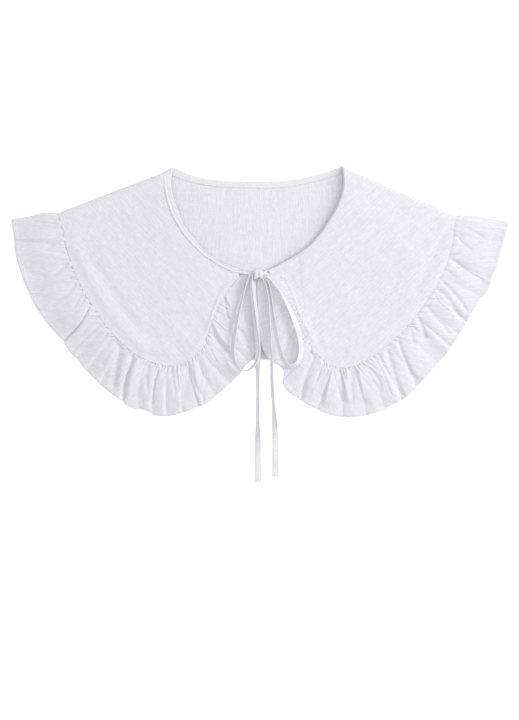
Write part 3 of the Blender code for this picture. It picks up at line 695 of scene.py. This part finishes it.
def shell(name, grid, thickness, flat, material):
    """A closed cloth wall in metres about a grid of middle points in millimetres."""
    rows, columns = grid.shape[:2]
    half = 0.5 * np.broadcast_to(thickness, grid.shape[:2])[:, :, None] * normals(grid)
    points = np.concatenate([(grid + half).reshape(-1, 3), (grid - half).reshape(-1, 3)]) / 1000
    count = rows * columns
    index = np.arange(count).reshape(rows, columns)
    quads = np.stack([index[:-1, :-1], index[1:, :-1], index[1:, 1:], index[:-1, 1:]], axis=-1)
    quads = quads.reshape(-1, 4)
    border = np.concatenate([index[0, :-1], index[:-1, -1], index[-1, :0:-1], index[:0:-1, 0]])
    after = np.roll(border, -1)
    rim = np.stack([border, after, after + count, border + count], axis=-1)
    faces = np.concatenate([quads, quads[:, ::-1] + count, rim])
    corners = flat.reshape(-1, 2)[faces.ravel() % count] / 1000
    return cloth(name, points, faces.tolist(), corners, material)


# Slubbed cotton: plain weave of uneven yarn, matt, cool white; the slubs show as faint lines,
# clearer along the warp than across it. Real threads are 0.4 mm apart; they are drawn 0.8 mm
# apart so that they show.
panel_cotton = woven("slubbed_cotton", "efeef3", "e2e1e7", 0.8, 0.7, 16.0, 0.04, 0.1)
body_rows = np.concatenate([
    np.linspace(0, 0.1, 8), np.linspace(0.12, 0.9, 44), np.linspace(0.91, 1.0, 10)])
body_grid = panel_grid(body_columns, body_rows)
body_cut = flat_cut(body_columns, body_grid)
body = shell("collar_cloth", body_grid, panel_wall, body_cut, panel_cotton)
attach(body, "root")
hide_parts("collar_body")

# Neck binding: a bias strip folded over the raw neck edge and stitched down. At the left it
# stands up beside the front as a narrow cord with its inner half below; at the right it is
# rolled under the edge; along the back it lies flat with its stitch line showing.
binding_wall = 1.0
binding_flat_width = 6.0
under_edge = 0.25
inner_rise = 0.25
# height, place in from the neck edge and half width of the rounded rim and the groove inside it
cord_profile = ((0.65, 1.3, 1.0), (-0.4, 2.8, 0.6))
back_ridge = 0.2
back_margin = 10.0
left_margin = 8.0
left_ease = 30.0
# stations of the back between which its binding sinks flat
sink_start = travel[25]
sink_end = travel[28]
# where the two ends lead into the knot, and how wide they are there
binding_ends = (
    (253.2, 274, 6),
    (263.2, 273.8, 6),
)
lead_width = 4.6
lead_steps = (0.0, 0.25, 0.5, 0.75)
binding_columns = np.linspace(0.0, round_end, 640)
edge, neck, _, _ = stations(binding_columns)
reach = edge - neck
reach[:, 2] = 0.0
strip_width = np.linalg.norm(reach, axis=1)
neck_start = neck - unit(reach) * under_edge
neck_start[:, 2] = np.maximum(neck_start[:, 2] - panel_drop, 0.5 * binding_wall)
share = np.linspace(0, 1, 21)[:, None]
binding_grid = neck_start[None] * (1 - share[:, :, None]) + edge[None] * share[:, :, None]
is_left = ramp((left_crest - left_margin - binding_columns) / left_ease)
inward = share * strip_width
cord_lift = sum(high * bell(inward, place, width) for high, place, width in cord_profile)
binding_grid[:, :, 2] += is_left * (cord_lift + inner_rise * inward)
is_back = (binding_columns > left_crest + back_margin) & (binding_columns < right_crest - back_margin)
is_back = is_back.astype(float)
sinks = ramp((binding_columns - sink_start) / (sink_end - sink_start))
binding_grid[:, :, 2] += back_ridge * (1 - sinks) * bell(share, 0.5, 0.45) * is_back
binding_grid[:, :, 2] += 0.05 * rumple(binding_columns[None], share * 5.0, 4.0, 3)
binding_grid[:, :, 2] += nape_rise(binding_columns, binding_grid)
lead = []
for x, y, z in binding_ends:
    sides = np.linspace(-0.5, 0.5, len(share)) * lead_width
    lead.append(np.stack([np.full(len(sides), x - datum_right), datum_down - y + sides,
                          np.full(len(sides), z)], axis=1)[:, None])
first = [lead[0] * (1 - t) + binding_grid[:, :1] * t for t in lead_steps]
final = [lead[1] * (1 - t) + binding_grid[:, -1:] * t for t in reversed(lead_steps)]
binding_grid = np.concatenate(first + [binding_grid] + final, axis=1)
rounding = np.sqrt(np.clip(1 - (2 * share - 1) ** 6, 0.12, 1))
rounding = rounding * (1 - 0.25 * is_back - 0.25 * is_back * sinks)
rounding = np.pad(rounding, ((0, 0), (len(lead_steps), len(lead_steps))), mode="edge")
along_binding = travelled(binding_grid[10])[None]
across_binding = share * binding_flat_width
binding_flat = np.stack(np.broadcast_arrays(
    along_binding + across_binding, along_binding * 0.3 + across_binding), axis=-1)
binding = shell("neck_binding_strip", binding_grid, binding_wall * rounding, binding_flat, bias_cotton)
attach(binding, "root")
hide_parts("neck_binding")

# Ruffle: one long strip of the same cotton, gathered on a thread to about five eighths of its
# length and sewn into the outer seam, then pressed flat, so that some gathers open into folds
# that run to the hem and lie over one another, and the rest die out near the seam.
ruffle_wall = 0.42
hem_wall = 0.95
hem_turned = 3.4
ruffle_depth = 45.0
# Valleys between the folds, in percent of the way from the shoulder to the centre front.
# Height, lean and reach past the hem line belong to the fold that follows the valley.
# at the seam, at the hem, height, lean, reach
left_folds = (
    (-4, -4, 1.2, 0, 0),
    (3.2, 2.8, 2.4, 1.4, 0),
    (8, 6.8, 3.4, -1.5, 0.8),
    (13, 14.5, 2.8, 1, 0),
    (17, 20, 2.6, 1, 0),
    (20.5, 27.5, 4, 2.6, 0.8),
    (25.5, 35.5, 3.6, -2.2, 1.8),
    (31, 40.2, 3.4, 1.4, 0),
    (35, 43.5, 3.8, 1.8, -0.8),
    (39.5, 47.2, 4.4, 2.2, 0),
    (44.5, 52.6, 3.6, -1.6, 1.6),
    (49, 55.8, 2.8, 1, -1.6),
    (54, 58.6, 3.2, 1.2, 0),
    (58, 61.4, 3.6, 1.6, 0),
    (62, 64.6, 2.8, -1, 0),
    (66, 67.8, 3.8, -1.6, 1),
    (69.5, 71.6, 2.6, 0.8, 0),
    (73, 75.2, 2.8, 1.2, 0),
    (77.5, 78.4, 3.2, 1.6, -1.4),
    (82, 81.4, 1.6, -1.2, 0),
    (86, 86, 1.2, 0.6, 0),
    (90, 90.6, 0.9, 0.4, 0),
    (94.5, 95.4, 0.7, 0.2, 0),
    (98.5, 98.5, 0.6, 0, 0),
    (102, 102, 0.4, 0, 0),
)
right_folds = (
    (-4, -4, 1.2, 0, 0),
    (0.5, 0.5, 3, 0.6, 0),
    (5, 6.2, 2.6, 1.4, 1.2),
    (10, 17, 3.2, -1.8, 2.8),
    (14.8, 21.6, 3.4, 1.6, -1.2),
    (19.5, 28.4, 3.2, -1.8, 0),
    (24, 31.8, 2.8, 1.2, 0.8),
    (28, 35.2, 3.8, -1.8, 1.2),
    (33.5, 40, 3.6, 1.8, 0),
    (39.5, 45.6, 3.2, 1.4, 0),
    (44.5, 50.4, 3.6, -1.8, -1.4),
    (50, 54, 2.6, 1, 0),
    (54.5, 57.2, 3, 1.2, 0),
    (60, 61.4, 3.8, 1.6, 0.8),
    (64.5, 66, 3.4, -1.2, 0),
    (70, 71, 3.6, 1.8, 1.2),
    (73.5, 75.6, 2.8, -1.4, -2.4),
    (78, 79.6, 2.4, 1.2, 0),
    (82.5, 84, 1.3, -0.6, 0),
    (87, 88.2, 1, 0.4, 0),
    (92, 93, 0.8, 0.2, 0),
    (97, 97.5, 0.6, 0, 0),
    (102, 102, 0.4, 0, 0),
)
# Hidden folds of the back: at the seam, at the hem, height
back_folds = (
    (-5, -5, 1.4),
    (4, 3.6, 2.1),
    (8.4, 9, 2.3),
    (13.6, 13, 1.8),
    (18, 18.8, 2.3),
    (23.2, 23, 1.6),
    (27.4, 28.2, 2.3),
    (33, 33, 2.1),
    (37.6, 38.4, 2.3),
    (42.8, 42.4, 1.8),
    (46.8, 47.6, 2.3),
    (52.6, 52, 2.3),
    (57.4, 58.2, 1.8),
    (62.8, 62.6, 2.3),
    (67.2, 68, 2.1),
    (72.8, 72.2, 2.3),
    (77, 78, 1.6),
    (82.4, 82, 2.3),
    (86.8, 87.8, 2.1),
    (92, 91.6, 2.3),
    (96.4, 97, 1.4),
    (105, 105, 1.1),
)
# Creases and ridges seen in the fronts' ruffle: where each runs from the seam out, its half
# width, its height and, at some, the step up to one side of it
left_marks = (
    ((60, 224, 50, 224, 34, 223), 1, -0.7),
    ((63, 238, 56, 243, 48, 246), 0.9, -0.8),
    ((50, 246, 30, 243, 14, 242), 4, -1.3),
    ((66, 243, 59, 246), 0.8, -0.6),
    ((65, 253, 54, 253, 45, 251), 1, -0.5),
    ((71, 262, 62, 268, 54, 275, 44, 278), 1, -0.9),
    ((42, 277, 36, 276, 28, 272), 3, -0.9),
    ((75, 274, 70, 279), 1, -0.8),
    ((78, 281, 72, 288, 66, 294, 52, 305), 1.8, -0.9),
    ((82, 292, 78, 300, 74, 306), 1, -0.7),
    ((86, 294, 82, 303, 74, 312), 1, -0.5),
    ((91, 305, 86, 314, 78, 326, 70, 336, 65, 342), 1.3, -1.5, 1.6),
    ((98, 317, 90, 325, 85, 332), 1.2, -0.8),
    ((101, 325, 90, 336, 80, 346, 72, 356), 1, -0.7, 0.9),
    ((107, 333, 103, 340), 0.8, -0.6),
    ((111, 337, 107, 346), 0.8, -0.7),
    ((117, 341, 109, 352, 101, 362), 2.4, -0.9),
    ((120, 342, 118, 354, 115, 368, 112, 384), 2.8, -2),
    ((133, 356, 129, 368, 126, 380, 123, 396), 2.4, -2.1, 0.8),
    ((137, 360, 134, 374, 131, 392), 2.4, 0.8),
    ((148, 366, 146, 378, 147, 392), 1.8, -1),
    ((159, 367, 155, 380, 153, 392, 152, 403), 0.7, -0.9, 0.5),
    ((171, 368, 172, 380, 174, 391), 1.6, -0.8),
    ((178, 368, 179, 385, 179, 405), 1.2, 0.9),
    ((188, 366, 186, 380, 184, 398), 3.2, -1.3),
    ((193, 363, 196, 374, 198, 384), 2, 0.9),
    ((191, 362, 193, 376, 200, 392), 1.6, -1),
    ((199, 362, 202, 374, 201, 386), 1.1, -0.6),
    ((206, 380, 203, 392, 204, 400), 1.5, -0.8),
    ((210, 350, 216, 362), 0.9, -0.7),
    ((213, 325, 222, 337, 230, 346), 1.5, 1.4),
    ((210, 328, 218, 343, 228, 356), 2.2, -2.4),
    ((226, 297, 231, 307), 1, 1.1),
    ((225, 301, 227, 316, 231, 321, 230, 334), 1, -1.1, 0.8),
    ((241, 306, 247, 312, 246, 321), 0.8, -1.2),
    ((236, 326, 245, 334, 252, 350), 1.2, -1.2, 1.1),
    ((237, 334, 244, 346), 2.8, 1.2),
)
right_marks = (
    ((464, 217, 472, 217, 480, 216), 1.2, -0.5),
    ((466, 229, 474, 232, 484, 238), 1.2, -0.6),
    ((459, 233, 462, 238), 0.8, -0.5),
    ((458, 238, 463, 244, 470, 249), 1.2, -1),
    ((450, 259, 458, 264, 468, 273, 480, 280), 1.4, -1.3),
    ((456, 265, 470, 278, 487, 288), 3.6, -1.5),
    ((446, 270, 454, 278), 0.7, -0.7),
    ((441, 281, 450, 289, 460, 299, 467, 309), 1.5, -1.6),
    ((437, 289, 446, 296, 452, 304, 459, 317), 2.3, -1.4),
    ((462, 321, 468, 317, 473, 313), 3.6, -1.8),
    ((434, 294, 438, 303, 448, 312), 0.7, -0.9),
    ((426, 306, 433, 315, 441, 323, 448, 332), 1.3, -1),
    ((418, 318, 421, 326, 424, 338), 1.6, -2),
    ((424, 338, 431, 348, 441, 356), 4.6, -1.6),
    ((412, 325, 416, 332), 1, -0.7),
    ((410, 328, 414, 345), 0.9, -0.5),
    ((398, 340, 404, 355, 410, 370, 416, 384), 1.5, -1.6),
    ((387, 350, 391, 362, 396, 378, 402, 395), 2.2, -1.6),
    ((379, 355, 382, 362), 0.9, -0.8),
    ((374, 358, 382, 372, 390, 395), 0.9, -0.6),
    ((366, 364, 374, 374, 380, 384, 380, 392), 1, -0.7),
    ((358, 366, 361, 380, 364, 396), 1.3, 0.9),
    ((352, 368, 351, 382, 353, 398), 2, -1),
    ((346, 372, 347, 392), 1.5, 0.5),
    ((341, 372, 339, 384, 342, 398), 2, -1.1),
    ((342, 402, 352, 404, 368, 404), 3.2, -1.2),
    ((334, 372, 337, 385, 342, 400), 0.8, -0.8),
    ((333, 366, 330, 380, 326, 400), 2, 0.8),
    ((327, 366, 326, 374, 322, 378), 0.9, -0.9),
    ((320, 370, 316, 380), 1.2, -0.9),
    ((316, 356, 308, 372, 303, 388, 301, 397), 2, -2.2, 0.6),
    ((319, 378, 322, 404), 4.6, -1),
    ((311, 352, 314, 358), 0.8, -0.8),
    ((286, 306, 280, 311, 275, 319), 1, -1.4, 0.7),
    ((290, 318, 283, 325, 278, 334), 2.2, 0.9),
    ((295, 325, 289, 338, 285, 354), 2, -2),
    ((297, 330, 292, 344), 1.6, 0.9),
    ((297, 339, 289, 354), 0.9, -1.1),
    ((314, 347, 309, 353, 306, 361), 2.4, -1.2),
    ((293, 296, 288, 299), 0.6, -1),
    ((295, 300, 289, 303), 0.6, -1.1),
    ((297, 305, 290, 307), 0.6, -1.1),
    ((298, 309, 293, 311), 0.6, -1),
    ((299, 314, 293, 316), 0.7, -0.9),
    ((303, 329, 299, 333), 0.7, -0.9),
    ((306, 336, 302, 340), 0.7, -0.9),
)
fold_softness = 0.5
fold_lean = 0.7
fold_skew = 0.13
fold_growth = 0.6
crease_spread = 1.3
# under the seam: a dip along it, and the tuck that holds the ruffle's top edge
seam_dip = 0.5
dip_width = 0.028
tuck_depth = 0.55
tuck_share = 0.04
# swells between seam and hem
puff_height = 0.9
wrinkle_height = 0.16
drape_height = 0.2
front_gathers = 1.35
back_gathers = 0.5
# the ends at the centre front are drawn up towards the knot
drawn_length = 5.0
drawn_up = 5.5
drawn_down = 0.9
# the ruffle stands out a little at each shoulder fold
crest_bulge = 2.2
crest_width = 9.0


def fold_lift(table, percent, share):
    """Height, sideways lean and outward reach of the folds at each row and column."""
    table = np.asarray(table, dtype=float)
    height = np.zeros((len(share), len(percent)))
    lean = np.zeros_like(height)
    reach = np.zeros_like(height)
    for row, part in enumerate(share):
        part = max(part, 0.0)
        valleys = table[:, 0] + (table[:, 1] - table[:, 0]) * part ** 0.8
        place = np.clip(np.searchsorted(valleys, percent, side="right") - 1, 0, len(valleys) - 2)
        inside = ramp((percent - valleys[place]) / (valleys[place + 1] - valleys[place]))
        peak = 0.5 + fold_skew * np.clip(table[place, 3], -2, 2)
        eased = np.where(inside < peak, 0.5 * inside / peak, 0.5 + 0.5 * (inside - peak) / (1 - peak))
        swell = np.sin(math.pi * eased) ** 0.8
        growth = math.sin(0.5 * math.pi * min(1.0, part / fold_growth))
        height[row] = fold_softness * table[place, 2] * growth * swell
        lean[row] = fold_lean * table[place, 3] * growth * np.sin(math.pi * inside)
        reach[row] = table[place, 4] * part ** 2 * np.sqrt(np.sin(math.pi * inside).clip(0))
    return height, lean, reach


def ruffle_grid(wanted, percent, table, marks, share, face, seed):
    """Middle surface of a ruffle: tucked under the seam at row 0, hem at the last row.

    Face is 1 where the inner side looks up (back) and -1 where it looks down (fronts).
    """
    _, _, seam, hem = stations(wanted)
    along = unit(np.gradient(hem, axis=0) + np.gradient(seam, axis=0))
    outward = unit(hem - seam)
    upward = face * unit(np.cross(outward, along))
    onward = along * (1.0 if percent[-1] > percent[0] else -1.0)
    width = np.linalg.norm(hem - seam, axis=1)
    part = np.asarray(share, dtype=float)[:, None]
    inside = ramp(part)
    height, lean, reach = fold_lift(table, percent, part[:, 0])
    room = np.clip(width / ruffle_depth, 0.25, 1.0)
    if face < 0:
        room = room * ramp(percent / 2.5)
    puff = puff_height * np.sin(math.pi * ramp(part / 0.8))
    wrinkle = rumple(wanted[None], part * 9.0, 7.0, seed + 1) * np.sin(math.pi * inside) ** 0.5
    drape = rumple(wanted[None], part * 45.0, 30.0, seed + 2) * inside
    small = gathers(wanted, part, gather_pitch, seed) * (front_gathers if face < 0 else back_gathers)
    lift = (height + small + puff + wrinkle_height * wrinkle + drape_height * drape) * room
    base = seam[None] + (hem - seam)[None] * part[:, :, None]
    pressed = marks_lift(base[:, :, 0] + datum_right, datum_down - base[:, :, 1], marks, crease_spread)
    lift = lift + pressed * part.clip(0, 0.1) * 10
    tuck = ramp(-part / tuck_share)
    lift = lift * (1 - tuck) - tuck_depth * tuck - seam_dip * bell(part, 0, dip_width)
    grid = base + outward[None] * (reach * room)[:, :, None]
    grid = grid + upward[None] * lift[:, :, None]
    grid = grid + onward[None] * (lean * room)[:, :, None]
    if face < 0:
        drawn = np.exp(-np.minimum(wanted, round_end - wanted) / drawn_length)
        grid[:, :, 1] += drawn_up * drawn * inside ** 0.4
        grid[:, :, 2] -= drawn_down * drawn
        crest = np.minimum(np.abs(wanted - left_crest), np.abs(wanted - right_crest))
        grid[:, :, 1] += crest_bulge * bell(crest, 0, crest_width) * bell(part, 0.32, 0.22)
    grid[:, :, 2] = np.maximum(grid[:, :, 2] - panel_drop * (1 - inside), 0.5 * hem_wall)
    turned = ramp(((1 - part) * width - hem_turned) / 0.8)
    wall = ruffle_wall + (hem_wall - ruffle_wall) * (1 - turned)
    wall = wall * np.where(part > 0.995, 0.6, 1.0)
    flat = np.stack(np.broadcast_arrays(wanted[None] * 1.25, part * ruffle_depth), axis=-1)
    return grid, wall, flat


# Ruffle cotton: the same cloth as the panels, softer because it is not pressed, with its threads
# square to the hem. Its colours are painted a shade darker than the panels', painted shade for the shade
# between its folds.
ruffle_cotton = woven("gathered_cotton", "edecf1", "e1e0e6", 0.8, 0.4, 7.0, 0.22, 0.1)
front_share = np.concatenate([[-0.055, -0.04, -0.025, -0.01], np.linspace(0.0, 0.2, 12),
                              np.linspace(0.23, 0.88, 24), np.linspace(0.9, 1.0, 8)])
back_share = np.concatenate([[-0.05, -0.02], np.linspace(0.0, 0.9, 20), np.linspace(0.93, 1.0, 4)])
left_columns = np.linspace(0.0, left_turn, 860)
right_columns = np.linspace(right_turn, round_end, 860)
back_columns = np.linspace(left_turn, right_turn, 620)
hem_stitch_row = -4
ruffles = (
    ("ruffle_left", left_columns, 100 * (left_crest - left_columns) / left_crest,
     left_folds, left_marks, front_share, -1, 21),
    ("ruffle_right", right_columns, 100 * (right_columns - right_crest) / (round_end - right_crest),
     right_folds, right_marks, front_share, -1, 34),
    ("ruffle_back", back_columns, 100 * (back_columns - left_turn) / (right_turn - left_turn),
     np.pad(back_folds, ((0, 0), (0, 2))), (), back_share, 1, 55),
)
hem_lines = []
for node, columns, percent, table, marks, share, face, seed in ruffles:
    grid, wall, flat = ruffle_grid(columns, percent, table, marks, share, face, seed)
    piece = shell(node + "_strip", grid, wall, flat, ruffle_cotton)
    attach(piece, "root")
    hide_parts(node)
    normal = normals(grid)[hem_stitch_row]
    facing = np.sign(normal[:, 2:3].mean())
    hem_lines.append(grid[hem_stitch_row] + facing * normal * 0.5 * hem_wall)

# Stitching: white cotton thread, ten stitches to 25 mm, sunk into the cloth. It closes the
# binding along the neck and holds the narrow turned hem of the ruffle.
stitch_pitch = 0.0025
stitch_length = 0.0017
thread_thickness = 0.00034
stitch_sink = 0.02
neck_stitch_row = 2
neck_stitch_start = 8
thread, thread_nodes, thread_shader = new_material("cotton_thread")
twist = add(thread_nodes, "ShaderNodeTexWave", {"bands_direction": "DIAGONAL"},
            {"Vector": add(thread_nodes, "ShaderNodeTexCoord").outputs["Object"], "Scale": 900.0})
fill(thread_nodes, thread_shader, {
    "Base Color": tinted(thread_nodes, twist.outputs["Fac"], "f0eff4", "dddce4"),
    "Roughness": 0.6, "Sheen Weight": 0.15})


def stitch_tree():
    """Resamples the lines at the pitch and sets one short thread on each point."""
    tree = bpy.data.node_groups.new("stitches", "GeometryNodeTree")
    sockets = (
        ("Lines", "INPUT", "Geometry", None),
        ("Pitch", "INPUT", "Float", stitch_pitch),
        ("Length", "INPUT", "Float", stitch_length),
        ("Thickness", "INPUT", "Float", thread_thickness),
        ("Thread", "INPUT", "Material", None),
        ("Stitches", "OUTPUT", "Geometry", None),
    )
    for name, way, kind, value in sockets:
        socket = tree.interface.new_socket(name, in_out=way, socket_type="NodeSocket" + kind)
        if value:
            socket.default_value = value
    group = add(tree, "NodeGroupInput").outputs
    curves = add(tree, "GeometryNodeMeshToCurve", inputs={"Mesh": group["Lines"]})
    spaced = add(tree, "GeometryNodeResampleCurve", {"mode": "LENGTH"},
                 {"Curve": curves, "Length": group["Pitch"]})
    bead = add(tree, "GeometryNodeMeshUVSphere", inputs={"Segments": 6, "Rings": 5, "Radius": 0.5})
    size = add(tree, "ShaderNodeCombineXYZ",
               inputs={"X": group["Length"], "Y": group["Thickness"], "Z": group["Thickness"]})
    tangent = add(tree, "GeometryNodeInputTangent")
    heading = add(tree, "FunctionNodeAlignRotationToVector", {"axis": "X"}, {"Vector": tangent})
    luck = add(tree, "FunctionNodeRandomValue", {"data_type": "FLOAT"},
               {"Min": -0.1, "Max": 0.1, "Seed": 7})
    skew = add(tree, "ShaderNodeCombineXYZ", inputs={"Z": luck.outputs[1]})
    turned = add(tree, "FunctionNodeRotateRotation", {"rotation_space": "LOCAL"},
                 {"Rotation": heading, "Rotate By": skew})
    stitches = add(tree, "GeometryNodeInstanceOnPoints",
                   inputs={"Points": spaced, "Instance": bead, "Rotation": turned, "Scale": size})
    real = add(tree, "GeometryNodeRealizeInstances", inputs={"Geometry": stitches})
    dressed = add(tree, "GeometryNodeSetMaterial", inputs={"Geometry": real, "Material": group["Thread"]})
    add(tree, "NodeGroupOutput", inputs={"Stitches": dressed})
    return tree


def stitched(name, lines):
    """A stitching piece from lines of points in millimetres."""
    edges = []
    start = 0
    for line in lines:
        edges += [(start + k, start + k + 1) for k in range(len(line) - 1)]
        start += len(line)
    mesh = bpy.data.meshes.new(name + "_lines")
    mesh.from_pydata((np.concatenate(lines) / 1000).tolist(), edges, [])
    guide = placed(name + "_lines", mesh)
    modifier = guide.modifiers.new("stitches", "NODES")
    modifier.node_group = stitch_tree()
    for item in modifier.node_group.interface.items_tree:
        if item.in_out == "INPUT" and item.name == "Thread":
            modifier[item.identifier] = thread
    bpy.context.view_layer.update()
    result = bpy.data.meshes.new_from_object(guide.evaluated_get(bpy.context.evaluated_depsgraph_get()))
    guide.modifiers.remove(modifier)
    bpy.data.objects.remove(guide)
    result.polygons.foreach_set("use_smooth", [True] * len(result.polygons))
    return placed(name, result)


normal = normals(binding_grid)
facing = np.where(normal[:, :, 2:3] < 0, -1.0, 1.0)
binding_top = binding_grid + facing * normal * (0.5 * binding_wall - stitch_sink)
neck_line = binding_top[neck_stitch_row, neck_stitch_start:-neck_stitch_start]
stitching = stitched("collar_stitching", [neck_line] + hem_lines)
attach(stitching, "root")

# Table: a smooth white board under the collar, so bright that it all but loses its edge.
table_half = 3.0
table_gap = 0.0003
board, board_nodes, board_shader = new_material("white_board")
grain = add(board_nodes, "ShaderNodeTexNoise", inputs={
    "Vector": add(board_nodes, "ShaderNodeTexCoord").outputs["Object"], "Scale": 40.0, "Detail": 3.0})
fill(board_nodes, board_shader, {
    "Base Color": tinted(board_nodes, grain.outputs["Fac"], "c4c4c6", "bebec0"), "Roughness": 0.9,
    "Emission Color": (1.0, 1.0, 1.0, 1.0), "Emission Strength": 0.62})
floor_mesh = bpy.data.meshes.new("table_top")
corners = [(table_half * x, table_half * y, -table_gap) for x, y in ((-1, -1), (1, -1), (1, 1), (-1, 1))]
floor_mesh.from_pydata(corners, [], [(0, 1, 2, 3)])
floor_mesh.materials.append(board)
floor = placed("table_top", floor_mesh)

# Light: a window at the upper right shades the folds softly towards the lower left. A wide
# soft light over the table and even white light all round keep the gaps between folds pale.
sky = bpy.data.worlds.new("studio")
sky.use_nodes = True
fill(sky.node_tree, sky.node_tree.nodes["Background"], {"Color": linear("fafafb"), "Strength": 0.5})
scene.world = sky
# name, place and size in metres, power in watts
lamps = (
    ("window", (1.747, 0.561, 1.333), 1.2, 25),
    ("overhead", (0, 0, 2.4), 2.0, 17),
)
for name, place, size, energy in lamps:
    light = bpy.data.lights.new(name, "AREA")
    light.shape = "DISK"
    light.size = size
    light.energy = energy
    lamp = placed(name, light)
    lamp.location = place
    lamp.rotation_euler = (-lamp.location).to_track_quat("-Z", "Y").to_euler()
scene.view_settings.view_transform = "Standard"
scene.view_settings.look = "None"
scene.view_settings.exposure = 0.0
